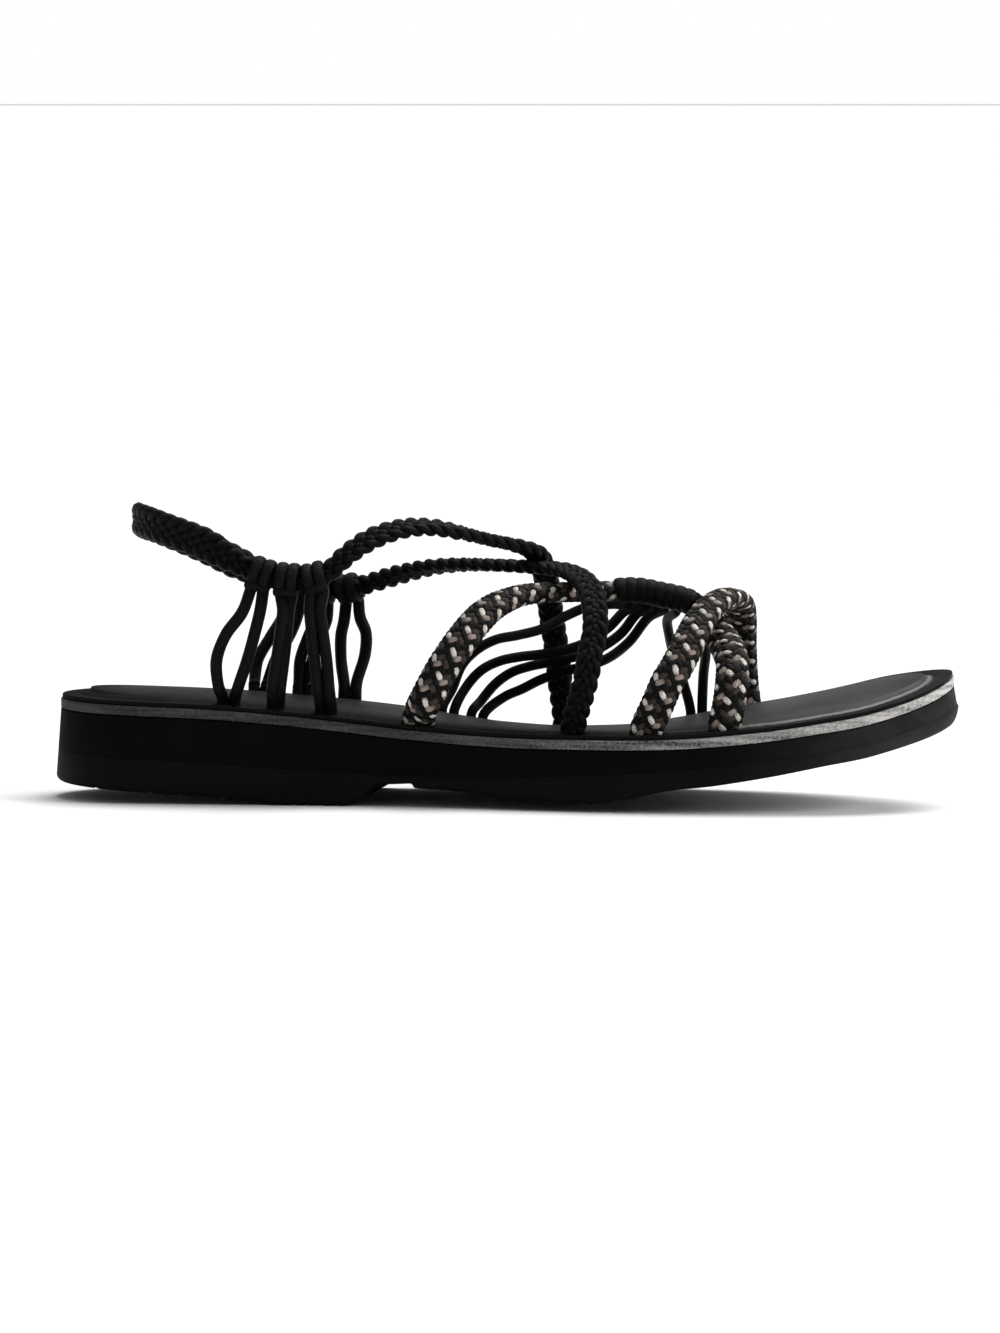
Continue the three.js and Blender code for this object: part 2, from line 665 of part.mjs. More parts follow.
// One loop: a knot with two ridges round the strap, and two strands from it down into one slot
function cordLoop({ ankle, side, knot, foot, strands }) {
  const { curve, lean } = ankle;
  const middle = wayTo(curve, knot);
  const centre = curve.getPointAt(middle);
  const knotLean = () => lean(middle);
  const stretch = (reach) => {
    const half = reach / curve.getLength();
    return curveThrough([-1, -0.5, 0, 0.5, 1].map((t) => curve.getPointAt(middle + half * t)));
  };
  const bore = [gatheredWidth + 2 * gap, braidThickness + 2 * gap];
  const outer = bore.map((size) => size + 2 * knotWall);
  const ridges = (k) => {
    const scale = k % 2 ? 1 : knotValley;
    return ovalSection(outer[0] * scale, outer[1] * scale, 0)(k);
  };
  const boreSection = ovalSection(bore[0] * boreEase[0], bore[1] * boreEase[1], 0);
  const shell = toSolid(sweep(stretch(knotWidth / 2), 4, ridges, knotLean));
  const hole = toSolid(sweep(stretch(knotWidth / 2 + 1), 2, boreSection, knotLean));
  const end = anchor(foot, side, knotWidth);
  const hang = centre.clone().setZ(centre.z - bore[0] / 2 - knotWall / 2);
  const legs = strands.map((rows, i) => {
    const offset = new THREE.Vector3((i - 0.5) * loopCord, 0, 0);
    const low = end.clone().add(offset);
    return toSolid(cord([hang.clone().add(offset), ...rows.map(place), slotExit(low), low], loopCord));
  });
  return toGeometry(shell.add(legs[0]).add(legs[1]).subtract(hole));
}

// Thin cords that fan out from under the wrap to the outer edge.
// wrapShare is the share of the wrap's length where the cord goes in under its turns.
const fanCords = [
  {
    name: 'fan_cord_1', foot: 0.414, wrapShare: 0.10,
    run: [[0.423, 0.76, 0.358], [0.434, 0.78, 0.443], [0.450, 0.77, 0.494], [0.472, 0.72, 0.532],
      [0.500, 0.63, 0.553], [0.529, 0.51, 0.580], [0.558, 0.37, 0.630], [0.586, 0.26, 0.668], [0.612, 0.20, 0.680]],
  },
  {
    name: 'fan_cord_2', foot: 0.427, wrapShare: 0.27,
    run: [[0.442, 0.78, 0.379], [0.457, 0.79, 0.426], [0.476, 0.78, 0.455], [0.497, 0.74, 0.471],
      [0.529, 0.66, 0.487], [0.571, 0.53, 0.523], [0.606, 0.35, 0.592], [0.627, 0.22, 0.655]],
  },
  {
    name: 'fan_cord_3', foot: 0.446, wrapShare: 0.42,
    run: [[0.454, 0.78, 0.310], [0.470, 0.81, 0.372], [0.488, 0.80, 0.413], [0.509, 0.76, 0.437],
      [0.544, 0.69, 0.462], [0.583, 0.58, 0.498], [0.619, 0.37, 0.569], [0.641, 0.22, 0.648]],
  },
  {
    name: 'fan_cord_4', foot: 0.459, wrapShare: 0.57,
    run: [[0.480, 0.80, 0.326], [0.500, 0.79, 0.355], [0.525, 0.73, 0.395],
      [0.560, 0.69, 0.432], [0.595, 0.61, 0.466], [0.627, 0.41, 0.537], [0.653, 0.23, 0.633]],
  },
  {
    name: 'toe_cord_1', foot: 0.689, wrapShare: 0.72,
    run: [[0.682, 0.74, 0.388], [0.675, 0.60, 0.478], [0.673, 0.40, 0.563], [0.674, 0.24, 0.627]],
  },
  {
    name: 'toe_cord_2', foot: 0.702, wrapShare: 0.92,
    run: [[0.705, 0.72, 0.414], [0.710, 0.58, 0.490], [0.713, 0.40, 0.560], [0.708, 0.19, 0.622]],
  },
];

// A fan cord ends square against the lower outer side of the wrap
function fanCord({ foot, wrapShare, run }) {
  const start = anchor(foot, 1, cordDiameter);
  const axis = wrapped.curve.getPointAt(wrapShare);
  const away = new THREE.Vector3(0, Math.SQRT1_2, -Math.SQRT1_2);
  const end = axis.clone().addScaledVector(away, wrapDiameter / 2 + gap);
  const before = axis.clone().addScaledVector(away, wrapDiameter / 2 + gap + cordDiameter / 2);
  return cord([start, slotExit(start), ...run.map(place), before, end], cordDiameter);
}

// Upright slot through the board and the footbed for a strap of the given size
function slot(foot, width, depth) {
  const halfX = width / 2 + slotClearance;
  const halfY = depth / 2 + slotClearance;
  const cut = halfY * slotCorner;
  const corners = [
    [halfX, halfY - cut], [halfX - cut, halfY], [cut - halfX, halfY], [-halfX, halfY - cut],
    [-halfX, cut - halfY], [cut - halfX, -halfY], [halfX - cut, -halfY], [halfX, cut - halfY],
  ];
  const shape = new THREE.Shape(corners.map(([x, y]) => new THREE.Vector2(foot.x + x, foot.y + y)));
  const height = 3 * (boardThickness + coverThickness + padRise);
  const geometry = new THREE.ExtrudeGeometry(shape, { depth: height, bevelEnabled: false });
  geometry.translate(0, 0, foot.z - height / 2);
  return toSolid(geometry);
}

function slots() {
  const braids = [innerAnkleFoot, outerAnkleFoot]
    .map(({ along, side }) => slot(anchor(along, side, braidWidth), braidWidth, braidThickness));
  const ropes = [rearRopeFoot, frontRopeFoot, ...toeRopeFeet]
    .map(({ along, side }) => slot(anchor(along, side, ropeWidth), ropeWidth, ropeThickness));
  const hung = loops.map(({ foot, side }) => slot(anchor(foot, side, knotWidth), 2 * loopCord, loopCord));
  const fanned = fanCords.map(({ foot }) => slot(anchor(foot, 1, cordDiameter), cordDiameter, cordDiameter));
  return [...braids, ...ropes, ...hung, ...fanned];
}

function cutSlots(geometry, cutters) {
  return toGeometry(cutters.reduce((solid, cutter) => solid.subtract(cutter), toSolid(geometry)));
}

const sandal = new THREE.Group();

function addPiece(name, geometry, material) {
  const mesh = new THREE.Mesh(geometry, material);
  mesh.name = name;
  sandal.add(mesh);
}

const cutters = slots();
addPiece('outsole', outsole(), materials.rubber);
addPiece('midsole', midsole(), materials.foam);
addPiece('insole_board', cutSlots(insoleBoard(), cutters), materials.rawLeather);
addPiece('footbed', cutSlots(footbed(), cutters), materials.leather);
addPiece('braided_straps', braidedStraps(), materials.blackCord);
addPiece('rear_rope', rope(strap(rearRopeRun, ropeWidth, { start: rearRopeFoot }), 1), materials.speckledRope);
addPiece('front_rope', rope(strap(frontRopeRun, ropeWidth, { end: frontRopeFoot }), 0), materials.speckledRope);
const toeEnds = { start: toeRopeFeet[0], end: toeRopeFeet[1] };
addPiece('toe_rope', rope(strap(toeRopeRun, ropeWidth, toeEnds)), materials.speckledRope);
addPiece('centre_wrap', centreWrap(), materials.blackCord);
for (const loop of loops) addPiece(loop.name, cordLoop(loop), materials.blackCord);
for (const fan of fanCords) addPiece(fan.name, fanCord(fan), materials.blackCord);

export default sandal;
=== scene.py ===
# Rope sandal: a rubber sole with a leather footbed, black plaits round the heel and over the instep,
# flat speckled ropes over the instep and toes, a wound centre and thin black cords.
# Sizes are worked out in millimetres and go into the meshes in metres. +X is the toe, -Y the inner side.
import math

import bmesh
import bpy
import numpy as np
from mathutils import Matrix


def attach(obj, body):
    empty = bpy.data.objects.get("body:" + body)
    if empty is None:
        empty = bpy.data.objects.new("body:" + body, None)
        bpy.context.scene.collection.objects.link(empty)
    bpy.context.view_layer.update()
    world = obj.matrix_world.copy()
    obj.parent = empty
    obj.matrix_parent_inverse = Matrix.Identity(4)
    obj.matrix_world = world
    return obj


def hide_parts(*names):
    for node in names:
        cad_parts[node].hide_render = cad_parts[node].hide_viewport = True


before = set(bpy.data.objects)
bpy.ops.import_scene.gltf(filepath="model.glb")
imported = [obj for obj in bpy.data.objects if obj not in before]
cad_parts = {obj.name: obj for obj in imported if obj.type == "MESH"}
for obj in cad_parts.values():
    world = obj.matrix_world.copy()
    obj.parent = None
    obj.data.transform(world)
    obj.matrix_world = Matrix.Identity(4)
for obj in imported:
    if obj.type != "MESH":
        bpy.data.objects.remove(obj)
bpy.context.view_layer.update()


# Studio: a white paper floor that runs far back to a low lit wall, a long lens a little above it, and soft
# light from overhead and from the toe side. The lens is the focal length in pixels of a frame 1000 wide.
scene = bpy.context.scene
scene.view_settings.view_transform = "Standard"
scene.view_settings.look = "None"
aim = np.array([-1.7, 0.0, 37.2])
turn, rise, away = math.radians(7.5), math.radians(4.0), 2500.0
sensor_width, focal_pixels, frame_pixels, mm_per_metre = 36.0, 8935.0, 1000.0, 1000.0
level = math.cos(rise)
eye = aim + away * np.array([math.sin(turn) * level, -math.cos(turn) * level, math.sin(rise)])
camera_data = bpy.data.cameras.new("camera")
camera_data.sensor_fit = "HORIZONTAL"
camera_data.sensor_width = sensor_width
camera_data.lens = sensor_width * focal_pixels / frame_pixels
camera_data.clip_end = 50.0
camera = bpy.data.objects.new("camera", camera_data)
camera.location = eye / mm_per_metre
camera.rotation_euler = (math.pi / 2 - rise, 0.0, turn)
scene.collection.objects.link(camera)
scene.camera = camera

world = bpy.data.worlds.new("studio_air")
scene.world = world
world.use_nodes = True
world.node_tree.nodes["Background"].inputs["Color"].default_value = (1.0, 1.0, 1.0, 1.0)
world.node_tree.nodes["Background"].inputs["Strength"].default_value = 0.24


def soft_box(name, place, target, size, power):
    """A square area light at one place, turned to face another; places in metres, power in watts."""
    light = bpy.data.lights.new(name, "AREA")
    light.shape = "SQUARE"
    light.size = size
    light.energy = power
    lamp = bpy.data.objects.new(name, light)
    lamp.location = place
    ray = np.array(target) - np.array(place)
    flat = math.hypot(ray[0], ray[1])
    lamp.rotation_euler = (math.atan2(flat, -ray[2]), 0.0, math.atan2(ray[1], ray[0]) - math.pi / 2)
    scene.collection.objects.link(lamp)


soft_box("toe_light", (1.0, -0.2, 0.5), (0.06, 0.0, 0.03), 0.5, 8.0)
sky_data = bpy.data.lights.new("overhead", "SUN")
sky_data.energy = 3.1
sky_data.angle = math.radians(46)
sky = bpy.data.objects.new("overhead", sky_data)
sky.rotation_euler = (math.radians(-24), math.radians(12), 0.0)
scene.collection.objects.link(sky)


def write_mesh(name, points, faces, uv=None, weld=False):
    """A smooth mesh from points in millimetres and faces as rows of point numbers, welded where asked."""
    mesh = bpy.data.meshes.new(name)
    mesh.vertices.add(len(points))
    mesh.vertices.foreach_set("co", (np.asarray(points, dtype=float) / mm_per_metre).ravel())
    counts = np.array([len(face) for face in faces])
    loops = np.concatenate([np.asarray(face) for face in faces])
    mesh.loops.add(len(loops))
    mesh.loops.foreach_set("vertex_index", loops)
    mesh.polygons.add(len(counts))
    mesh.polygons.foreach_set("loop_start", np.concatenate([[0], np.cumsum(counts)[:-1]]))
    mesh.polygons.foreach_set("use_smooth", np.ones(len(counts), dtype=bool))
    mesh.update(calc_edges=True)
    if uv is not None:
        mesh.uv_layers.new(name="UVMap").data.foreach_set("uv", np.asarray(uv, dtype=float).ravel())
    if weld:
        form = bmesh.new()
        form.from_mesh(mesh)
        bmesh.ops.remove_doubles(form, verts=form.verts, dist=1e-7)
        bmesh.ops.recalc_face_normals(form, faces=form.faces)
        form.to_mesh(mesh)
        form.free()
    mesh.validate()
    return mesh


def add_piece(name, mesh, material, nodes):
    """One object at the origin, with its finish, riding on the sandal in place of its solids."""
    mesh.materials.append(material)
    piece = bpy.data.objects.new(name, mesh)
    scene.collection.objects.link(piece)
    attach(piece, "root")
    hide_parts(*nodes)
    return piece


paper_reach, wall_radius, wall_foot, wall_top, wall_panels = 30000, 28000, -10, 2000, 96
paper_corners = [[i * paper_reach, j * paper_reach, 0] for i, j in ((-1, -1), (1, -1), (1, 1), (-1, 1))]
paper_mesh = write_mesh("paper", paper_corners, [[0, 1, 2, 3]])


class Socket:
    """A node's output that takes part in sums: an operator adds the Math node that works it out."""

    def __init__(self, tree, out):
        self.tree = tree
        self.out = out

    def node(self, kind, settings=None, **values):
        """Add a node, set its properties and then its sockets, and give back the node. A socket goes by its
        name with _ for a space, or by _ and its number, where several have one name."""
        made = self.tree.nodes.new(kind)
        for key, value in (settings or {}).items():
            setattr(made, key, value)
        for key, value in values.items():
            wanted = int(key[1:]) if key[0] == "_" else key.replace("_", " ")
            socket = made.inputs[wanted]
            if isinstance(value, Socket):
                self.tree.links.new(value.out, socket)
            else:
                socket.default_value = value
        return made

    def read(self, kind, output, settings=None, **values):
        """Add a node and give back one of its outputs, by name or number."""
        made = self.node(kind, settings, **values)
        return Socket(self.tree, made.outputs[output])

    def part(self, axis):
        """One coordinate of a place."""
        return self.read("ShaderNodeSeparateXYZ", axis, None, Vector=self)

    def maths(self, operation, *terms):
        """The value of one Math node on these terms."""
        return self.read("ShaderNodeMath", 0, {"operation": operation},
                         **{f"_{i}": term for i, term in enumerate(terms)})

    def __add__(self, other): return self.maths("ADD", self, other)
    def __radd__(self, other): return self.maths("ADD", other, self)
    def __sub__(self, other): return self.maths("SUBTRACT", self, other)
    def __rsub__(self, other): return self.maths("SUBTRACT", other, self)
    def __mul__(self, other): return self.maths("MULTIPLY", self, other)
    def __rmul__(self, other): return self.maths("MULTIPLY", other, self)
    def sin(self): return self.maths("SINE", self)
    def abs(self): return self.maths("ABSOLUTE", self)

    def mix(self, dark, light):
        """From one colour to another by this value, held between 0 and 1."""
        colours = {f"_{i}": c if isinstance(c, Socket) else (*c, 1.0) for i, c in ((6, dark), (7, light))}
        return self.read("ShaderNodeMix", 2, {"data_type": "RGBA", "clamp_factor": True}, _0=self, **colours)

    def rise(self, low, high):
        """0 below low, 1 above high, with a soft step between."""
        return self.read("ShaderNodeMapRange", 0, {"interpolation_type": "SMOOTHSTEP"},
                         _0=self, _1=low, _2=high)


def finish(name, roughness, specular):
    """A material with a plain shader; gives the material, a socket to build on, and the shader."""
    material = bpy.data.materials.new(name)
    material.use_nodes = True
    tree = material.node_tree
    shader = tree.nodes["Principled BSDF"]
    shader.inputs["Roughness"].default_value = roughness
    shader.inputs["Specular IOR Level"].default_value = specular
    return material, Socket(tree, None), shader


def feed(maker, shader, name, value):
    """Link a value or a colour to one of the shader's sockets."""
    maker.tree.links.new(value.out, shader.inputs[name])


def noise(where, scale, detail, **values):
    """Cloudy noise from 0 to 1 round a half, scale cells to a metre."""
    return where.read("ShaderNodeTexNoise", 0, None, Vector=where, Scale=scale, Detail=detail, **values)


def bump(maker, shader, height, strength, distance):
    """Small relief from a height between 0 and 1, distance metres deep."""
    made = maker.node("ShaderNodeBump", None, Strength=strength, Distance=distance, Height=height)
    maker.tree.links.new(made.outputs["Normal"], shader.inputs["Normal"])


paper_material, maker, shader = finish("white_paper", 0.9, specular=0.1)
shader.inputs["Base Color"].default_value = (0.93, 0.93, 0.93, 1.0)
wall_material, maker, shader = finish("lit_wall", 0.9, specular=0.0)
shader.inputs["Base Color"].default_value = (0.0, 0.0, 0.0, 1.0)
shader.inputs["Emission Color"].default_value = (1.0, 1.0, 1.0, 1.0)
shader.inputs["Emission Strength"].default_value = 1.0
round_room = np.linspace(0, 2 * math.pi, wall_panels + 1)[:-1]
wall_points = [[wall_radius * math.cos(q), wall_radius * math.sin(q), z] for z in (wall_foot, wall_top)
               for q in round_room]
near, far = np.arange(wall_panels), (np.arange(wall_panels) + 1) % wall_panels
panels = np.stack([near, far, wall_panels + far, wall_panels + near], axis=-1)
wall_mesh = write_mesh("wall", wall_points, panels)
for name, mesh, material in (("paper", paper_mesh, paper_material), ("wall", wall_mesh, wall_material)):
    mesh.materials.append(material)
    backdrop = bpy.data.objects.new(name, mesh)
    scene.collection.objects.link(backdrop)


# Sole: three layers that share one outline. The outsole is moulded black rubber with a low heel, the
# midsole a darker foam, and the insole board a stiff grey sheet whose raw edge shows as a light line.
sole_length, ball_width, heel_height = 254.5, 86.0, 27.5
heel_end_round, toe_end_round, toe_end_fullness = 30.0, 46.0, 2.3
midsole_heel, board_thickness, gap = 11.6, 2.7, 0.3
groove_pitch, groove_depth, groove_edge, groove_start, groove_end = 4.0, 1.1, 0.55, 0.045, 0.335
end_stations, middle_stations = 34, 300
# along the sole, centre and half width by the ball's width, board's top by the heel's height, twist of the
# board in degrees, midsole's thickness by its thickness at the heel
sole_rows = np.array([
    (0.00, 0.00, 0.350, 1.010, 0.0, 0.95), (0.12, 0.00, 0.355, 0.985, 0.0, 0.98),
    (0.19, 0.00, 0.355, 0.960, 0.0, 1.00), (0.27, 0.01, 0.358, 0.905, 0.0, 0.98),
    (0.33, 0.02, 0.365, 0.850, 0.0, 0.92), (0.38, 0.03, 0.380, 0.795, -0.2, 0.84),
    (0.43, 0.03, 0.400, 0.735, -1.4, 0.76), (0.49, 0.03, 0.430, 0.675, -2.6, 0.66),
    (0.56, 0.02, 0.465, 0.645, -3.1, 0.60), (0.62, 0.01, 0.490, 0.655, -2.6, 0.54),
    (0.68, 0.00, 0.500, 0.710, -0.8, 0.47), (0.74, -0.01, 0.495, 0.790, 1.0, 0.42),
    (0.80, -0.02, 0.475, 0.875, 2.1, 0.40), (0.86, -0.03, 0.445, 0.985, 3.4, 0.40),
    (0.92, -0.05, 0.410, 1.120, 5.4, 0.40), (0.97, -0.06, 0.380, 1.245, 5.8, 0.40),
    (1.00, -0.07, 0.360, 1.340, 4.8, 0.40)])
# along the sole, lift of the tread by the heel's height
tread_rows = np.array([
    (0.000, 0.165), (0.060, 0.135), (0.120, 0.108), (0.190, 0.070), (0.245, 0.025), (0.262, 0.000),
    (0.338, 0.000), (0.348, 0.025), (0.358, 0.085), (0.367, 0.160), (0.377, 0.218), (0.411, 0.220),
    (0.415, 0.172), (0.450, 0.140), (0.500, 0.075), (0.540, 0.022), (0.615, 0.022), (0.650, 0.085),
    (0.700, 0.225), (0.750, 0.315), (0.810, 0.435), (0.880, 0.600), (0.940, 0.740), (1.000, 0.870)])


def column(places, values):
    """A cubic through the rows whose slopes are harmonic means of the steps, so it never overshoots."""
    steps = np.diff(values) / np.diff(places)
    before, after = np.concatenate([steps[:1], steps]), np.concatenate([steps, steps[-1:]])
    same = before * after > 0
    slopes = np.where(same, 2 * before * after / np.where(same, before + after, 1.0), 0.0)

    def value(at):
        at = np.clip(at, places[0], places[-1])
        i = np.clip(np.searchsorted(places, at) - 1, 0, len(places) - 2)
        width = places[i + 1] - places[i]
        t = (at - places[i]) / width
        climb = values[i + 1] - values[i]
        a, b = slopes[i] * width, slopes[i + 1] * width
        return values[i] + a * t + (3 * climb - 2 * a - b) * t**2 + (a + b - 2 * climb) * t**3
    return value


centre_share, half_share, top_share, twist_degrees, midsole_share = (
    column(sole_rows[:, 0], sole_rows[:, i]) for i in range(1, 6))
lift_share = column(tread_rows[:, 0], tread_rows[:, 1])


# Places along the sole run from 0 at the heel to 1 at the toe. The board's top is a row's height plus the
# twist's slope across; each surface under it lies a thickness or a gap lower.
def along_of(x): return np.clip(x / sole_length + 0.5, 0.0, 1.0)
def slope_at(x): return np.tan(np.radians(twist_degrees(along_of(x))))
def board_top(x, y): return heel_height * top_share(along_of(x)) + slope_at(x) * y
def board_bottom(x, y): return board_top(x, y) - board_thickness
def midsole_top(x, y): return board_bottom(x, y) - gap
def midsole_bottom(x, y): return midsole_top(x, y) - midsole_heel * midsole_share(along_of(x))
def outsole_top(x, y): return midsole_bottom(x, y) - gap


def tread(x, y):
    """Lift of the tread over the floor, plus grooves across the heel where a cosine is near its top."""
    along = along_of(x)
    heel = (along > groove_start) & (along < groove_end)
    groove = np.where(heel, np.cos(x * 2 * math.pi / groove_pitch), 0.0)
    lift = np.maximum(heel_height * lift_share(along) + slope_at(x) * y, 0.0)
    return lift + groove_depth * np.maximum(groove - groove_edge, 0)


def edge_points(along, side, inset):
    """The outline, drawn in by an inset: a half width that closes the heel in a circle's quarter and the toe
    in a fuller one, whose powers of the two distances add up to 1."""
    from_heel = np.clip(along * sole_length / heel_end_round, 0, 1)
    from_toe = np.clip((1 - along) * sole_length / toe_end_round, 0, 1)
    heel_round = np.sqrt(1 - (1 - from_heel) ** 2)
    toe_round = (1 - (1 - from_toe) ** toe_end_fullness) ** (1 / toe_end_fullness)
    half = (half_share(along) * ball_width - inset) * (heel_round * toe_round)
    return (along - 0.5) * (sole_length - 2 * inset), centre_share(along) * ball_width + side * half


# Stations lie closer together toward both ends, by a cosine
ends = 1 - np.cos(np.linspace(0, math.pi / 2, end_stations))
stations = np.unique(np.round(np.concatenate([
    ends * heel_end_round / sole_length, 1 - ends * toe_end_round / sole_length,
    np.linspace(heel_end_round / sole_length, 1 - toe_end_round / sole_length, middle_stations)]), 6))


def tube_mesh(name, tubes, weld=False, caps=True, tints_and_shade=None):
    """Rings of points joined by quads and closed at the ends. The map runs 0 to 1 round each tube and by its
    length in millimetres along it. The tints hold a colour for each ring of each tube, with painted shade in
    them where a rope's yarns dip."""
    points, faces, uv, colours = [], [], [], []
    first = 0
    for number, rings in enumerate(tubes):
        n, m, _ = rings.shape
        i, j = np.meshgrid(np.arange(n - 1), np.arange(m), indexing="ij")
        k = (j + 1) % m
        quads = first + np.stack([i * m + j, i * m + k, (i + 1) * m + k, (i + 1) * m + j], axis=-1)
        centres = rings.mean(axis=1)
        run = np.concatenate([[0.0], np.cumsum(np.linalg.norm(np.diff(centres, axis=0), axis=1))])
        around = np.stack([j, j + 1, j + 1, j], axis=-1) / m
        along = run[np.stack([i, i, i + 1, i + 1], axis=-1)]
        uv.append(np.stack([around, along], axis=-1).reshape(-1, 2))
        faces.extend(quads.reshape(-1, 4).tolist())
        if caps:
            faces.append([first + q for q in range(m)][::-1])
            faces.append([first + (n - 1) * m + q for q in range(m)])
            uv.append(np.zeros((2 * m, 2)))
        points.append(rings.reshape(-1, 3))
        if tints_and_shade is not None:
            ring_tints_and_shade = np.repeat(tints_and_shade[number], m, axis=0)
            colours.append(np.pad(ring_tints_and_shade, ((0, 0), (0, 1)), constant_values=1.0))
        first += n * m
    mesh = write_mesh(name, np.concatenate(points), faces, np.concatenate(uv), weld)
    if tints_and_shade is not None:
        tint_and_shade = mesh.color_attributes.new("tint_and_shade", "FLOAT_COLOR", "POINT")
        tint_and_shade.data.foreach_set("color", np.concatenate(colours).ravel())
    return mesh


def layer_mesh(name, rims, across):
    """Closed cross sections at the stations: bottom from outer to inner edge, up the inner rims, back over
    the top and down the outer rims. rims holds (inset, height function) from the bottom up."""
    sides = []
    for inset, height in rims:
        pair = []
        for side in (-1, 1):
            x, y = edge_points(stations, side, inset)
            pair.append(np.stack([x, y, height(x, y)], axis=-1))
        sides.append(pair)
    shares = np.linspace(0, 1, across)[1:-1]

    def flat(rim, height, order):
        inner, outer = rim
        strip = []
        for share in order:
            y = inner[:, 1] + (outer[:, 1] - inner[:, 1]) * share
            strip.append(np.stack([inner[:, 0], y, height(inner[:, 0], y)], axis=-1))
        return strip

    ring = (flat(sides[0], rims[0][1], shares[::-1]) + [pair[0] for pair in sides]
            + flat(sides[-1], rims[-1][1], shares) + [pair[1] for pair in sides[::-1]])
    rings = np.stack(ring, axis=1)
    return tube_mesh(name, [rings], weld=True, caps=False)


quarter = np.linspace(0, math.pi / 2, 4)


def lower_edge(low, inset, radius):
    """Rims of a rounded lower edge: out by the sine and up by the cosine of a quarter turn."""
    return [(inset + radius * (1 - math.sin(q)), lambda x, y, d=radius * (1 - math.cos(q)): low(x, y) + d)
            for q in quarter]


def upper_edge(high, inset, radius):
    """Rims of a rounded upper edge: in by the cosine and up by the sine of a quarter turn."""
    return [(inset + radius * (1 - math.cos(q)), lambda x, y, d=radius * (1 - math.sin(q)): high(x, y) - d)
            for q in quarter]


tread_radius, toe_roll, toe_roll_start = 1.8, 3.2, 0.8
seam_inset, seam_radius, seam_gap, upper_inset, board_radius = 0.52, 0.08, 0.04, 1.3, 0.3


def outsole_low(x, y, share):
    """Height on the rounded lower edge: share runs from the tread up to where the wall stands straight."""
    toe_share = np.clip((along_of(x) - toe_roll_start) / (1 - toe_roll_start), 0, 1)
    radius = tread_radius + toe_roll * toe_share
    return np.minimum(tread(x, y) + radius * share, outsole_top(x, y) - 1.0)


outsole_rims = [(tread_radius * (1 - math.sin(q)), lambda x, y, s=1 - math.cos(q): outsole_low(x, y, s))
                for q in np.linspace(0, math.pi / 2, 6)]
outsole_rims += upper_edge(outsole_top, seam_inset, seam_radius)

# black rubber, cloudy and lightly scuffed, with painted light making it lighter toward the toe
rubber, maker, shader = finish("moulded_rubber", 0.62, specular=0.06)
where = maker.read("ShaderNodeTexCoord", "Object")
mottle, grit = noise(where, 60.0, 6.0), noise(where, 2600.0, 3.0)
scuff = noise(where, 340.0, 8.0, Roughness=0.75)
# painted light: the rubber's colour lightens toward the toe, standing in for light from the toe side
rubber_toe_light = where.part("X").rise(0.06, 0.127)
scuff_colour_lit_toward_toe = rubber_toe_light.mix((0.0078, 0.0076, 0.0074), (0.058, 0.0575, 0.057))
scuffs = mottle * 0.6 + scuff.rise(0.62, 0.8) * 0.5
feed(maker, shader, "Base Color", scuffs.mix((0.0012, 0.0012, 0.0012), scuff_colour_lit_toward_toe))
feed(maker, shader, "Roughness", 0.48 + mottle * 0.35)
bump(maker, shader, grit * 0.5 + scuff * 0.6, 0.5, 0.00012)
add_piece("outsole_rubber", layer_mesh("outsole_rubber", outsole_rims, 15), rubber, ["outsole"])

# blacker foam with fine pores, with painted light making it lighter toward the toe as on the rubber
foam, maker, shader = finish("midsole_foam", 0.7, specular=0.035)
where = maker.read("ShaderNodeTexCoord", "Object")
mottle, pores = noise(where, 90.0, 5.0), noise(where, 1900.0, 4.0)
# painted light: the foam's colour lightens toward the toe
foam_toe_light = where.part("X").rise(0.06, 0.127).mix((0.0040, 0.0040, 0.0039), (0.040, 0.040, 0.039))
feed(maker, shader, "Base Color", mottle.mix((0.0008, 0.0008, 0.0008), foam_toe_light))
feed(maker, shader, "Roughness", 0.58 + mottle * 0.25)
bump(maker, shader, pores, 0.5, 0.00012)
midsole_rims = lower_edge(lambda x, y: outsole_top(x, y) + seam_gap, seam_inset, seam_radius)
midsole_rims += upper_edge(midsole_top, upper_inset, seam_radius)
add_piece("midsole_foam", layer_mesh("midsole_foam", midsole_rims, 9), foam, ["midsole"])

# grey fibres in thin layers, dark at the heel and lighter toward the toe
board, maker, shader = finish("raw_board_edge", 0.75, specular=0.2)
where = maker.read("ShaderNodeTexCoord", "Object")
layers = maker.read("ShaderNodeMapping", 0, None, Vector=where, Scale=(60.0, 60.0, 900.0))
fibre, speck = noise(layers, 1.0, 6.0), noise(where, 1500.0, 3.0)
board_toe_ramp, toe_end = where.part("X").rise(-0.03, 0.110), where.part("X").rise(0.05, 0.125)
board_heel_to_toe_grey = board_toe_ramp.mix((0.070, 0.0695, 0.068), (0.47, 0.46, 0.445))
fibres = fibre * 1.7 + speck * 1.5 - 1.15 + toe_end * 0.30
feed(maker, shader, "Base Color", fibres.mix((0.012, 0.012, 0.0115), board_heel_to_toe_grey))
bump(maker, shader, fibre * 0.7 + speck * 0.5, 0.6, 0.00015)
board_rims = lower_edge(board_bottom, upper_inset, board_radius)
board_rims += upper_edge(board_top, upper_inset, board_radius)
board_sheet = layer_mesh("insole_board_sheet", board_rims, 9)
add_piece("insole_board_sheet", board_sheet, board, ["insole_board"])


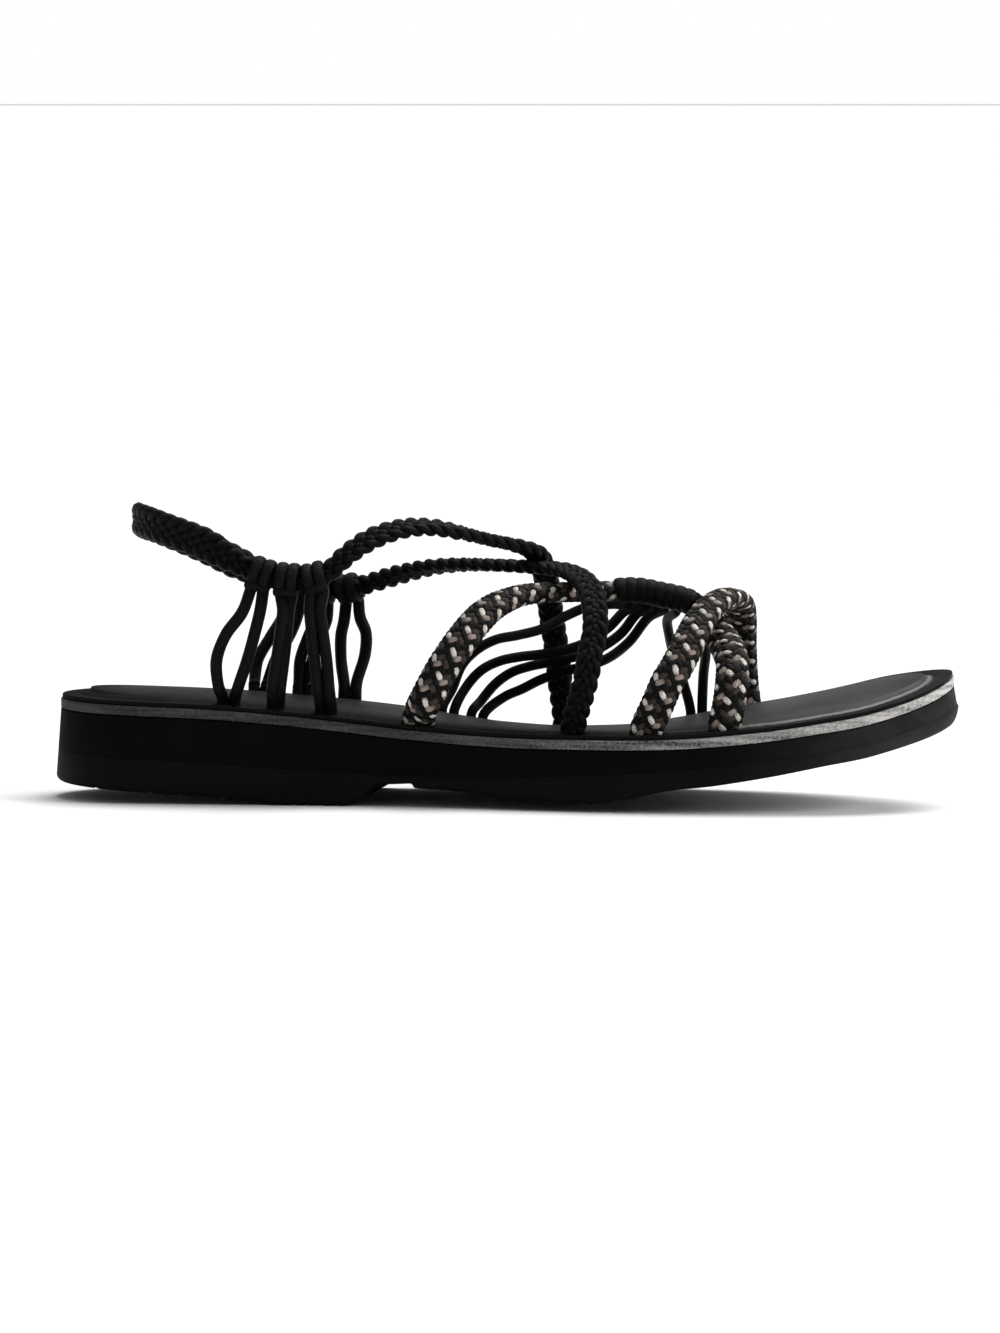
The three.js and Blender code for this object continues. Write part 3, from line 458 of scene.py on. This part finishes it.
# Footbed: thin charcoal leather with a flat border and a foam-padded middle, stitched round the pad. Its rim
# is slightly puckered by the stitches. The leather has a fine grain, with painted shade by the rim and at the
# heel, and a painted highlight line round the toe.
cover_thickness, cover_radius, cover_inset = 1.0, 0.4, 1.7
pad_rise, pad_crown, pad_rounding = 1.4, 0.9, 0.35
border_inset, stitch_inset, pad_foot_inset, pad_side_width, rim_highlight_inset = 5.6, 6.4, 6.9, 2.8, 8.0
stitch_pitch, stitch_dip, pucker_wave, pucker_size = 3.1, 0.25, 17.0, 0.12
pad_shoulder_inset = pad_foot_inset + pad_side_width


# The cover lies a gap over the board, and the pad rises from it
def cover_bottom(x, y): return board_top(x, y) + gap
def cover_top(x, y): return board_top(x, y) + gap + cover_thickness
def pad_top(x, y): return cover_top(x, y) + pad_rise


def pad_side(share):
    """Height on the pad's side: a sine of the share of the way up, with small waves along the edge that die
    out upwards, as stitches pull the leather in."""
    climb = (pad_rise + pad_rounding - pad_crown) * math.sin(share * math.pi / 2)
    size = pucker_size * (1 - share)
    return lambda x, y: (cover_top(x, y) + climb + size * np.sin(x * 2 * math.pi / stitch_pitch)
                         * np.sin(x * 2 * math.pi / pucker_wave + 1.0))


def crowned(x, y):
    """The pad's top: highest in the middle of its width, and falling by a square to its shoulder."""
    along = along_of(x)
    half = np.maximum(half_share(along) * ball_width - pad_shoulder_inset, 1.0)
    share = np.clip(np.abs(y - centre_share(along) * ball_width) / half, 0, 1)
    return pad_top(x, y) + pad_rounding - pad_crown * share**2


footbed_rims = [(cover_inset, cover_bottom)] + upper_edge(cover_top, cover_inset, cover_radius)
footbed_rims += [(border_inset, cover_top), (stitch_inset, lambda x, y: cover_top(x, y) - stitch_dip)]
footbed_rims += [(pad_foot_inset + pad_side_width * share, pad_side(share))
                 for share in np.linspace(0.05, 1.0, 7)[:-1]]
footbed_rims += [(pad_shoulder_inset, crowned)]
footbed_mesh = layer_mesh("footbed_leather", footbed_rims, 33)
spots = np.empty(len(footbed_mesh.vertices) * 3)
footbed_mesh.vertices.foreach_get("co", spots)
spots = spots.reshape(-1, 3) * mm_per_metre
# inset_mm is each point's distance to the nearest of many points on the outline, closer set at both ends
even, few = np.linspace(0, 1, 700), np.linspace(0, 1, 200)
outline = np.concatenate([np.stack(edge_points(along, side, 0.0), axis=-1)
                          for side in (-1, 1) for along in (even, even**3, 1 - few**3)])
in_from_edge = np.concatenate([np.sqrt(((batch[:, None, :2] - outline[None]) ** 2).sum(axis=-1).min(axis=1))
                               for batch in np.array_split(spots, 40)])
footbed_mesh.attributes.new("inset_mm", "FLOAT", "POINT").data.foreach_set("value", in_from_edge)

# leather matt and with painted shade by the rim and grey on the pad, with thread on the stitch line, a
# painted highlight line round the toe, and painted light and shade from a dark heel to a lighter toe
leather, maker, shader = finish("charcoal_leather", 0.5, specular=0.04)
where = maker.read("ShaderNodeTexCoord", "Object")
inset_mm = maker.read("ShaderNodeAttribute", "Fac", {"attribute_name": "inset_mm"})
along_m = where.part("X")
grain = maker.read("ShaderNodeTexVoronoi", "Distance", {"feature": "F1"}, Vector=where, Scale=1500.0)
cloud = noise(where, 45.0, 5.0)
crosswise = maker.read("ShaderNodeMapping", 0, None, Vector=where, Scale=(420.0, 60.0, 60.0))
crease = noise(crosswise, 1.0, 6.0)
stitch_line = 1.0 - (inset_mm - stitch_inset).abs().rise(0.15, 0.6)
stitch = (along_m * (mm_per_metre * 2 * math.pi / stitch_pitch)).sin().rise(-0.4, 0.1)
tip, leather_toe_light_share = along_m.rise(0.02, 0.09), along_m.rise(-0.11, 0.09)
# painted shade: the leather darkens toward its rim, in a wide soft band at the heel and a crisp one round the
# toe
soft_rim, crisp_rim = inset_mm.rise(5.0, 20.0), inset_mm.rise(6.0, 9.0)
rim_painted_shade = soft_rim + (crisp_rim - soft_rim) * tip
# painted highlight: a light line along the pad's rim round the toe
rim_highlight = (1.0 - (inset_mm - rim_highlight_inset).abs().rise(0.2, 1.1)) * tip * (cloud * 0.6 + 0.5)
# painted light and shade: the leather's colour runs from dark at the heel to lighter toward the toe
leather_heel_shade_toe_light = leather_toe_light_share.mix((0.015, 0.0148, 0.0144), (0.098, 0.0972, 0.0955))
face = (cloud * 0.9 + 0.05).mix((0.004, 0.004, 0.004), leather_heel_shade_toe_light)
face = rim_highlight.mix(face, rim_highlight.mix((0.2, 0.2, 0.2), (0.3, 0.298, 0.294)))
feed(maker, shader, "Base Color", (rim_painted_shade + stitch_line * stitch * 0.25).mix((0.0055, 0.0055, 0.0055), face))
feed(maker, shader, "Roughness", 0.30 + cloud * 0.2 + (1.0 - rim_painted_shade) * (1.0 - tip) * 0.35)
bump(maker, shader, grain * 0.35 + crease * 0.9 - stitch_line * (1.0 - stitch) * 1.2, 0.6, 0.0002)
footbed = add_piece("footbed_leather", footbed_mesh, leather, ["footbed"])


# Plaits: two flat three-strand plaits of black sheathed cord. The first runs from behind the heel along the
# inner ankle, over the instep and down outside; the second along the outer ankle and down inside.
strap_height, braid_width, braid_thickness, heel_braid_width, gathered_width = 80.0, 7.3, 3.8, 9.4, 6.2
anchor_inset, heel_loop_centre = 7.6, 0.215
plait_period, plait_lift, strand_share, strand_height, strand_clear = 11.4, 0.84, 0.50, 2.2, 1.02
cord_offset, cord_share = 0.24, 0.56
# along, across, up, lean in degrees
inner_ankle_run = [
    (0.091, -0.02, 0.975, 0), (0.098, -0.16, 0.975, 0), (0.116, -0.33, 0.966, 0), (0.139, -0.44, 0.946, 0),
    (0.179, -0.53, 0.904, 0), (0.214, -0.58, 0.846, 0), (0.245, -0.60, 0.800, 5), (0.276, -0.62, 0.783, 10),
    (0.304, -0.62, 0.788, 20), (0.321, -0.61, 0.818, 32), (0.339, -0.58, 0.872, 42),
    (0.364, -0.52, 0.925, 48), (0.395, -0.44, 0.958, 54), (0.424, -0.35, 0.962, 60),
    (0.455, -0.26, 0.941, 66), (0.485, -0.13, 0.912, 74), (0.512, -0.02, 0.890, 82),
    (0.529, 0.12, 0.862, 72), (0.535, 0.30, 0.800, 58), (0.536, 0.51, 0.710, 40), (0.536, 0.69, 0.610, 20),
    (0.539, 0.77, 0.514, 5), (0.542, 0.84, 0.387, 0)]
outer_ankle_run = [
    (0.090, 0.02, 0.973, 0), (0.091, 0.19, 0.955, 0), (0.100, 0.33, 0.938, 0), (0.115, 0.44, 0.912, 0),
    (0.150, 0.53, 0.860, 0), (0.185, 0.58, 0.803, 0), (0.213, 0.60, 0.762, 5), (0.244, 0.62, 0.736, 10),
    (0.275, 0.62, 0.718, 15), (0.306, 0.60, 0.712, 32), (0.335, 0.56, 0.735, 46), (0.371, 0.49, 0.770, 56),
    (0.406, 0.41, 0.797, 66), (0.441, 0.33, 0.810, 73), (0.489, 0.21, 0.813, 80), (0.530, 0.09, 0.811, 82),
    (0.563, -0.05, 0.808, 80), (0.586, -0.21, 0.786, 66), (0.601, -0.37, 0.746, 50),
    (0.609, -0.53, 0.691, 35), (0.612, -0.64, 0.636, 22), (0.611, -0.71, 0.580, 10),
    (0.609, -0.77, 0.537, 5), (0.605, -0.81, 0.452, 0)]


def anchor(along, side, width):
    """Where a strap's end stands in its slot, just clear of the midsole's highest corner under it."""
    share = 0.5 + (along - 0.5) * sole_length / (sole_length - 2 * anchor_inset)
    x, y = edge_points(np.array(share), side, anchor_inset)
    corners = [midsole_top(x + i * width / 2, y + j * width / 2) for i in (-1, 1) for j in (-1, 1)]
    return np.array([float(x), float(y), float(max(corners)) + gap])


def slot_exit(foot):
    """The point over a strap's end where it leaves the pad."""
    return np.array([foot[0], foot[1], float(pad_top(foot[0], foot[1])) + gap])


def place(row):
    """A row of shares made a point: along the sole, across from its middle, and up."""
    return np.array([(row[0] - 0.5) * sole_length, row[1] * ball_width / 2, row[2] * strap_height])


def curve_points(points, count):
    """Evenly spaced points on a centripetal curve: cubic pieces whose end slopes come from the square roots
    of the distances to the neighbouring points."""
    points = np.asarray(points, dtype=float)
    padded = np.concatenate([[2 * points[0] - points[1]], points, [2 * points[-1] - points[-2]]])
    d = np.sqrt(np.linalg.norm(np.diff(padded, axis=0), axis=1))[:, None]
    d0, d1, d2 = d[:-2], d[1:-1], d[2:]
    p0, p1, p2, p3 = padded[:-3], padded[1:-2], padded[2:-1], padded[3:]
    t1 = ((p1 - p0) / d0 - (p2 - p0) / (d0 + d1) + (p2 - p1) / d1) * d1
    t2 = ((p2 - p1) / d1 - (p3 - p1) / (d1 + d2) + (p3 - p2) / d2) * d1
    t = np.linspace(0, 1, 40, endpoint=False)[None, :, None]
    a, b, s, e = t1[:, None], t2[:, None], p1[:, None], p2[:, None]
    fine = s + a * t + (3 * (e - s) - 2 * a - b) * t**2 + (a + b - 2 * (e - s)) * t**3
    fine = np.concatenate([fine.reshape(-1, 3), points[-1:]])
    run = np.concatenate([[0.0], np.cumsum(np.linalg.norm(np.diff(fine, axis=0), axis=1))])
    even = np.linspace(0, run[-1], count)
    return np.stack([np.interp(even, run, fine[:, i]) for i in range(3)], axis=-1), even


# A vector over its length, and the direction of a line of points
def unit(v): return v / np.maximum(np.linalg.norm(v, axis=-1, keepdims=True), 1e-9)
def along_curve(points): return unit(np.gradient(points, axis=0))


class Strap:
    """A strap's middle line with its frames: along it, outwards from the foot, and across its flat. Outwards
    is level from the foot's middle line, tipped up by the lean."""

    def __init__(self, run, width, start=None, end=None, step=0.35):
        rows = [(place(row), row[3]) for row in run]
        if start:
            foot = anchor(*start, width)
            rows = [(foot, 0), (slot_exit(foot), 0)] + rows
        if end:
            foot = anchor(*end, width)
            rows += [(slot_exit(foot), 0), (foot, 0)]
        knots = np.array([point for point, _ in rows])
        chords = np.concatenate([[0.0], np.cumsum(np.linalg.norm(np.diff(knots, axis=0), axis=1))])
        lean = column(chords, np.array([float(lean) for _, lean in rows]))
        length = curve_points(knots, 2)[1][-1]
        self.points, self.run = curve_points(knots, int(length / step))
        self.length = self.run[-1]
        self.along = along_curve(self.points)
        angle = np.radians(lean(self.run / self.length * chords[-1]))[:, None]
        level = np.stack([np.minimum(self.points[:, 0] - (heel_loop_centre - 0.5) * sole_length, 0.0),
                          self.points[:, 1], np.zeros(len(self.points))], axis=-1) / (ball_width / 4)
        size = np.linalg.norm(level, axis=1, keepdims=True)
        level = level / np.maximum(size, 1.0)
        out = level * np.cos(angle)
        out[:, 2] = np.sin(angle[:, 0])
        out = out - self.along * np.sum(out * self.along, axis=1, keepdims=True)
        self.out = unit(out)
        self.across = np.cross(self.out, self.along)


def strand(points, facing, width, height, sides):
    """A tube of oval section: each ring is width across and height along the facing direction."""
    along = along_curve(points)
    out = unit(facing - along * np.sum(facing * along, axis=1, keepdims=True))
    across = np.cross(out, along)
    angle = 2 * math.pi * np.arange(sides) / sides
    width, height = np.broadcast_to(width, len(points)), np.broadcast_to(height, len(points))
    return (points[:, None] + across[:, None] * (np.cos(angle)[None, :, None] * width[:, None, None] / 2)
            + out[:, None] * (np.sin(angle)[None, :, None] * height[:, None, None] / 2))


# A plait is widest behind the heel and gathered where the loops hold it
plait_width = column(np.array([0.0, 0.18, 0.23, 0.32, 0.37, 1.0]),
                     np.array([heel_braid_width] * 2 + [gathered_width] * 2 + [braid_width] * 2))


def plait_strands(strap):
    """Three strands of two cords laid side by side: each strand swings from side to side by a sine and in
    and out by a sine of twice the turns."""
    width = plait_width(along_of(strap.points[:, 0]))
    strand_width = strand_share * width
    cord_width = cord_share * strand_width
    tubes = []
    for i in range(3):
        turned = 2 * math.pi * (strap.run / plait_period + i / 3)
        side = (width - strand_width * strand_clear) / 2 * np.sin(turned)
        lift = plait_lift * np.sin(2 * turned)
        line = strap.points + strap.across * side[:, None] + strap.out * lift[:, None]
        beside = unit(np.cross(strap.out, along_curve(line))) * strand_width[:, None]
        for offset in (-cord_offset, cord_offset):
            tubes.append(strand(line + beside * offset, strap.out, cord_width, strand_height, 8))
    return tubes


inner_ankle = Strap(inner_ankle_run, braid_width, end=(0.549, 1), step=0.42)
outer_ankle = Strap(outer_ankle_run, braid_width, end=(0.590, -1), step=0.42)

cord_black, maker, shader = finish("black_sheathed_cord", 0.42, specular=0.085)
mapped = maker.read("ShaderNodeTexCoord", "UV")
where = maker.read("ShaderNodeTexCoord", "Object")
# the sheath's weave: two sets of slanting waves, ten round the cord and one every 0.9 mm along it
around, run_mm = mapped.part("X") * (2 * math.pi * 10), mapped.part("Y") * (2 * math.pi / 0.9)
weave = ((around + run_mm).sin() * (around - run_mm).sin()).rise(-0.7, 0.9)
fuzz, patch = noise(where, 2200.0, 4.0), noise(where, 160.0, 3.0)
sheath = weave * 0.55 + patch * 0.6 - 0.1
feed(maker, shader, "Base Color", sheath.mix((0.0004, 0.0004, 0.0004), (0.0056, 0.0056, 0.0056)))
bump(maker, shader, weave * 0.8 + fuzz * 0.35, 0.9, 0.00022)
plaits = tube_mesh("black_plaits", plait_strands(inner_ankle) + plait_strands(outer_ankle))
add_piece("black_plaits", plaits, cord_black, ["braided_straps"])


# Speckled ropes: flat braided ropes of twenty-four yarns, twelve each way round, two over and two under. Most
# are brown-black and a few cream or pink-beige, so that pale specks repeat round and along the rope.
rope_width, rope_thickness, rope_lay, rope_gather = 9.2, 5.6, 21.6, 9.0
# the last three numbers set the painted shade that darkens each yarn where it dips under others
yarn_width, yarn_height, yarn_rise, dipped_light, dip_shade_start, dip_shade_over = 1.75, 1.1, 0.34, 0.06, 0.20, 0.45
rear_rope_run = [
    (0.429, -0.72, 0.381, 0), (0.446, -0.72, 0.482, 5), (0.454, -0.70, 0.523, 10),
    (0.464, -0.65, 0.573, 18), (0.475, -0.57, 0.623, 28), (0.487, -0.47, 0.668, 40),
    (0.502, -0.35, 0.701, 55), (0.521, -0.23, 0.722, 68), (0.546, -0.12, 0.729, 80),
    (0.577, -0.05, 0.730, 85), (0.604, -0.02, 0.732, 85), (0.621, 0.00, 0.733, 85)]
front_rope_run = [
    (0.7145, -0.08, 0.685, 75), (0.725, -0.13, 0.647, 72), (0.737, -0.22, 0.606, 60),
    (0.748, -0.37, 0.569, 42), (0.756, -0.53, 0.542, 25), (0.762, -0.67, 0.506, 8),
    (0.763, -0.77, 0.444, 0), (0.761, -0.81, 0.374, 0)]
toe_rope_run = [
    (0.682, -0.83, 0.358, 0), (0.694, -0.81, 0.448, 5), (0.702, -0.78, 0.491, 10),
    (0.708, -0.72, 0.531, 18), (0.713, -0.65, 0.570, 28), (0.718, -0.56, 0.612, 38),
    (0.724, -0.43, 0.655, 52), (0.732, -0.28, 0.691, 66), (0.741, -0.12, 0.712, 80),
    (0.748, 0.07, 0.708, 85), (0.752, 0.26, 0.682, 66), (0.751, 0.44, 0.630, 44), (0.748, 0.62, 0.543, 22),
    (0.747, 0.73, 0.450, 5), (0.748, 0.78, 0.367, 0)]
cream, blush = (0.86, 0.81, 0.74), (0.40, 0.33, 0.29)
brown, soot = (0.055, 0.046, 0.039), (0.0042, 0.0036, 0.0032)
left_yarns = [blush, soot, soot, brown] * 3
right_yarns = [cream, soot, brown, soot] * 3


def rope_yarns(strap, wrap_end=None):
    """Each yarn goes round the oval as it goes along, one turn a lay. It crosses twenty-four others in a lay,
    and rises and sinks by a cosine of four crossings; the next yarn does so two crossings later. Where it
    dips, painted shade darkens its colour toward soot. Next to the wrap the oval is gathered to a round."""
    from_wrap = strap.length - strap.run if wrap_end == 1 else strap.run
    spread = np.ones(len(strap.run)) if wrap_end is None else np.clip(from_wrap / rope_gather, 0, 1)
    spread = spread * spread * (3 - 2 * spread)
    cover = (yarn_height + yarn_rise) / 2
    half_wide = (rope_thickness + (rope_width - rope_thickness) * spread) / 2 - cover
    half_thick = rope_thickness / 2 - cover
    crossing = 2 * len(left_yarns) * strap.run / rope_lay
    tubes, tints_and_shade = [], []
    for hand, yarns in ((1, left_yarns), (-1, right_yarns)):
        for k in range(len(yarns)):
            turned = hand * 2 * math.pi * strap.run / rope_lay + 2 * math.pi * k / len(yarns)
            over = hand * np.cos(math.pi / 2 * (crossing + hand * (2 * k - 0.5)))
            c, s = np.cos(turned)[:, None], np.sin(turned)[:, None]
            facing = unit(strap.across * c / half_wide[:, None] + strap.out * s / half_thick)
            line = (strap.points + strap.across * c * half_wide[:, None] + strap.out * s * half_thick
                    + facing * (yarn_rise * over)[:, None])
            tubes.append(strand(line, facing, yarn_width, yarn_height, 8))
            # painted shade: the yarn's colour darkens toward soot where it dips under others
            lit = np.clip((over - dip_shade_start) / dip_shade_over, 0, 1)[:, None]
            lit = dipped_light + (1 - dipped_light) * lit * lit * (3 - 2 * lit)
            tints_and_shade.append(np.array(yarns[k]) * lit + np.array(soot) * (1 - lit))
    core = strand(strap.points, strap.out, 2 * half_wide, 2 * half_thick, 10)
    return tubes + [core], tints_and_shade + [np.tile(np.array(soot), (len(core), 1))]


rope_speckled, maker, shader = finish("speckled_rope", 0.6, specular=0.12)
mapped = maker.read("ShaderNodeTexCoord", "UV")
where = maker.read("ShaderNodeTexCoord", "Object")
# each yarn's own twist shows as slanting lines, six round it
twist = ((mapped.part("X") * 6.0 + mapped.part("Y") * 0.9) * (2 * math.pi)).sin().rise(-0.9, 0.9)
fuzz, stain = noise(where, 1800.0, 5.0), noise(where, 520.0, 3.0)
# the yarns' colours, with their painted shade where they dip, darkened further by stains and fuzz
tint_and_shade = maker.read("ShaderNodeAttribute", "Color", {"attribute_name": "tint_and_shade"})
shade = (fuzz * 0.9 + stain * 1.5 + twist * 0.3 - 0.85).mix((0.16, 0.14, 0.125), (1.0, 1.0, 1.0))
yarn_colour_shade_and_stain = maker.read("ShaderNodeMix", 2, {"data_type": "RGBA", "blend_type": "MULTIPLY"},
                  _0=0.75, _6=tint_and_shade, _7=shade)
feed(maker, shader, "Base Color", yarn_colour_shade_and_stain)
bump(maker, shader, twist * 0.7 + fuzz * 0.6, 0.9, 0.0002)
rear_rope = Strap(rear_rope_run, rope_width, start=(0.416, -1))
front_rope = Strap(front_rope_run, rope_width, end=(0.757, -1))
toe_rope = Strap(toe_rope_run, rope_width, start=(0.672, -1), end=(0.750, 1))
ropes = (("rear_rope", rear_rope, 1), ("front_rope", front_rope, 0), ("toe_rope", toe_rope, None))
for name, strap, wrap_end in ropes:
    yarns, tints_and_shade = rope_yarns(strap, wrap_end)
    braid = tube_mesh(name + "_braid", yarns, tints_and_shade=tints_and_shade)
    add_piece(name + "_braid", braid, rope_speckled, [name])


# Wrap: black cord wound tight round the middle of the ropes, where they are bound together. The winding is a
# helix about the wrap's middle line, over a round core that stands for the ropes' bound ends.
wrap_diameter, winding_pitch, winding_radius, winding_width, winding_height = 7.4, 2.8, 2.92, 3.5, 1.5
wrap_core = 6.6
wrap_run = [(0.624, 0.00, 0.734, 85), (0.640, 0.00, 0.737, 85), (0.654, 0.00, 0.733, 85),
            (0.670, -0.01, 0.723, 82), (0.693, -0.03, 0.709, 78), (0.710, -0.07, 0.692, 75)]
wrapped = Strap(wrap_run, wrap_diameter, step=0.06)
winding = 2 * math.pi * wrapped.run / winding_pitch
radial = wrapped.across * np.cos(winding)[:, None] + wrapped.out * np.sin(winding)[:, None]
wound = strand(wrapped.points + radial * winding_radius, radial, winding_width, winding_height, 12)
core = strand(wrapped.points, wrapped.out, wrap_core, wrap_core, 16)
add_piece("wound_wrap", tube_mesh("wound_wrap", [wound, core]), cord_black, ["centre_wrap"])


# Cord loops: three on each side hang the heel plait from the sole. Each is a doubled cord hitched over the
# plait, so two turns and a bar show on it, and its two strands go down together into one slot.
loop_cord, knot_width = 3.4, 6.2
turn_offset, turn_width, turn_height, turn_clear_tall, turn_clear_deep = 1.62, 3.2, 1.7, 0.95, 1.0
bar_reach, bar_width, bar_height, bar_tuck, bar_depth, bar_bend = 3.0, 2.7, 2.3, 0.4, 0.75, 0.5
hang_drop, press_way, cord_step = 0.6, np.array([-2.0, 1.8, 0.0]), 0.6
# name, plait, side, where the knot and the foot are along the sole, how far the strands are pressed together,
# and the routes of both strands
loop_rows = [
    ("inner_loop_1", inner_ankle, -1, 0.244, 0.206, 0.0,
     [(0.224, -0.64, 0.670), (0.206, -0.66, 0.590), (0.196, -0.66, 0.503), (0.197, -0.62, 0.410)],
     [(0.244, -0.64, 0.680), (0.239, -0.65, 0.610), (0.230, -0.65, 0.507), (0.219, -0.62, 0.411)]),
    ("inner_loop_2", inner_ankle, -1, 0.274, 0.258, 0.9,
     [(0.266, -0.65, 0.680), (0.264, -0.66, 0.610), (0.259, -0.65, 0.504), (0.254, -0.62, 0.410)],
     [(0.279, -0.65, 0.680), (0.277, -0.66, 0.610), (0.273, -0.65, 0.505), (0.268, -0.62, 0.400)]),
    ("inner_loop_3", inner_ankle, -1, 0.303, 0.313, 0.25,
     [(0.298, -0.65, 0.680), (0.300, -0.66, 0.610), (0.303, -0.65, 0.505), (0.306, -0.62, 0.400)],
     [(0.311, -0.65, 0.680), (0.314, -0.66, 0.610), (0.318, -0.65, 0.506), (0.320, -0.62, 0.400)]),
    ("outer_loop_1", outer_ankle, 1, 0.252, 0.212, 0.0,
     [(0.233, 0.64, 0.600), (0.220, 0.66, 0.535), (0.206, 0.66, 0.455), (0.204, 0.60, 0.380)],
     [(0.251, 0.64, 0.610), (0.243, 0.66, 0.550), (0.226, 0.66, 0.456), (0.219, 0.60, 0.380)]),
    ("outer_loop_2", outer_ankle, 1, 0.281, 0.260, 0.3,
     [(0.270, 0.65, 0.600), (0.262, 0.66, 0.540), (0.253, 0.66, 0.457), (0.253, 0.60, 0.375)],
     [(0.285, 0.65, 0.600), (0.278, 0.66, 0.545), (0.269, 0.66, 0.457), (0.266, 0.60, 0.375)]),
    ("outer_loop_3", outer_ankle, 1, 0.310, 0.312, 0.0,
     [(0.304, 0.64, 0.600), (0.300, 0.66, 0.545), (0.300, 0.66, 0.458), (0.305, 0.60, 0.370)],
     [(0.322, 0.64, 0.610), (0.328, 0.66, 0.555), (0.327, 0.66, 0.480), (0.319, 0.60, 0.380)])]


def plain_cord(points, diameter):
    """A round cord along a smooth curve through the points."""
    length = curve_points(points, 2)[1][-1]
    line, _ = curve_points(points, max(int(length / cord_step), 8))
    facing = np.tile(np.array([0.0, 0.7, 0.7]), (len(line), 1))
    return strand(line, facing, diameter, diameter, 12)


for name, ankle, side, knot, foot, pinch, left_rows, right_rows in loop_rows:
    near = int(np.argmin(np.abs(along_of(ankle.points[:, 0]) - knot) + (ankle.run > 0.6 * ankle.length)))
    centre, along, out, across = ankle.points[near], ankle.along[near], ankle.out[near], ankle.across[near]
    half_tall, half_deep = gathered_width / 2 + turn_clear_tall, braid_thickness / 2 + turn_clear_deep
    down = -1.0 if across[2] > 0 else 1.0
    tubes = []
    angle = np.linspace(0, 2 * math.pi, 49)
    facing = across * np.cos(angle)[:, None] + out * np.sin(angle)[:, None]
    for turn_side in (-1, 1):
        ring = (centre + along * turn_side * turn_offset + across * (np.cos(angle) * half_tall)[:, None]
                + out * (np.sin(angle) * half_deep)[:, None])
        tubes.append(strand(ring, facing, turn_width, turn_height, 10))
    reach = np.linspace(-1, 1, 13)[:, None]
    bar = (centre + along * reach * bar_reach + across * down * (half_tall - bar_tuck)
           + out * (half_deep * bar_depth - bar_bend * reach * reach))
    tubes.append(strand(bar, np.tile(out, (13, 1)), bar_width, bar_height, 10))
    end = anchor(foot, side, knot_width)
    hang = centre + across * down * (gathered_width / 2 + hang_drop)
    for i, rows in enumerate((left_rows, right_rows)):
        shift = np.array([(i - 0.5) * loop_cord, 0.0, 0.0])
        press = (i - 0.5) * pinch * press_way
        low = end + shift + press
        way = [hang + shift] + [place(row) + press for row in rows] + [slot_exit(low), low]
        tubes.append(plain_cord(way, loop_cord))
    add_piece(name + "_cord", tube_mesh(name + "_cord", tubes), cord_black, [name])


# Fan and toe cords: thin round black cords from under the wrap, spreading to the outer edge of the sole,
# where each stands in a slot of its own. Their other ends are bound in under the wrap's turns.
cord_diameter, tail_depth = 2.9, 1.5
# name, where its foot is along the sole, its end's share of the way along the wrap, and its route
fan_rows = [
    ("fan_cord_1", 0.414, 0.10,
     [(0.423, 0.76, 0.358), (0.434, 0.78, 0.443), (0.450, 0.77, 0.494), (0.472, 0.72, 0.532),
      (0.500, 0.63, 0.553), (0.529, 0.51, 0.580), (0.558, 0.37, 0.630), (0.586, 0.26, 0.668),
      (0.612, 0.20, 0.680)]),
    ("fan_cord_2", 0.427, 0.27,
     [(0.442, 0.78, 0.379), (0.457, 0.79, 0.426), (0.476, 0.78, 0.455), (0.497, 0.74, 0.471),
      (0.529, 0.66, 0.487), (0.571, 0.53, 0.523), (0.606, 0.35, 0.592), (0.627, 0.22, 0.655)]),
    ("fan_cord_3", 0.446, 0.42,
     [(0.454, 0.78, 0.310), (0.470, 0.81, 0.372), (0.488, 0.80, 0.413), (0.509, 0.76, 0.437),
      (0.544, 0.69, 0.462), (0.583, 0.58, 0.498), (0.619, 0.37, 0.569), (0.641, 0.22, 0.648)]),
    ("fan_cord_4", 0.459, 0.57,
     [(0.480, 0.80, 0.326), (0.500, 0.79, 0.355), (0.525, 0.73, 0.395), (0.560, 0.69, 0.432),
      (0.595, 0.61, 0.466), (0.627, 0.41, 0.537), (0.653, 0.23, 0.633)]),
    ("toe_cord_1", 0.689, 0.72,
     [(0.682, 0.74, 0.388), (0.675, 0.60, 0.478), (0.673, 0.40, 0.563), (0.674, 0.24, 0.627)]),
    ("toe_cord_2", 0.702, 0.92,
     [(0.705, 0.72, 0.414), (0.710, 0.58, 0.490), (0.713, 0.40, 0.560), (0.708, 0.19, 0.622)])]
for name, foot, wrap_share, rows in fan_rows:
    start = anchor(foot, 1, cord_diameter)
    axis = wrapped.points[int(wrap_share * (len(wrapped.points) - 1))]
    under = np.array([0.0, 1.0, -1.0]) / math.sqrt(2)
    tail = [axis + under * (wrap_diameter / 2 + gap + cord_diameter / 2),
            axis + under * (wrap_diameter / 2 - tail_depth)]
    tube = plain_cord([start, slot_exit(start)] + [place(row) for row in rows] + tail, cord_diameter)
    add_piece(name + "_round", tube_mesh(name + "_round", [tube]), cord_black, [name])
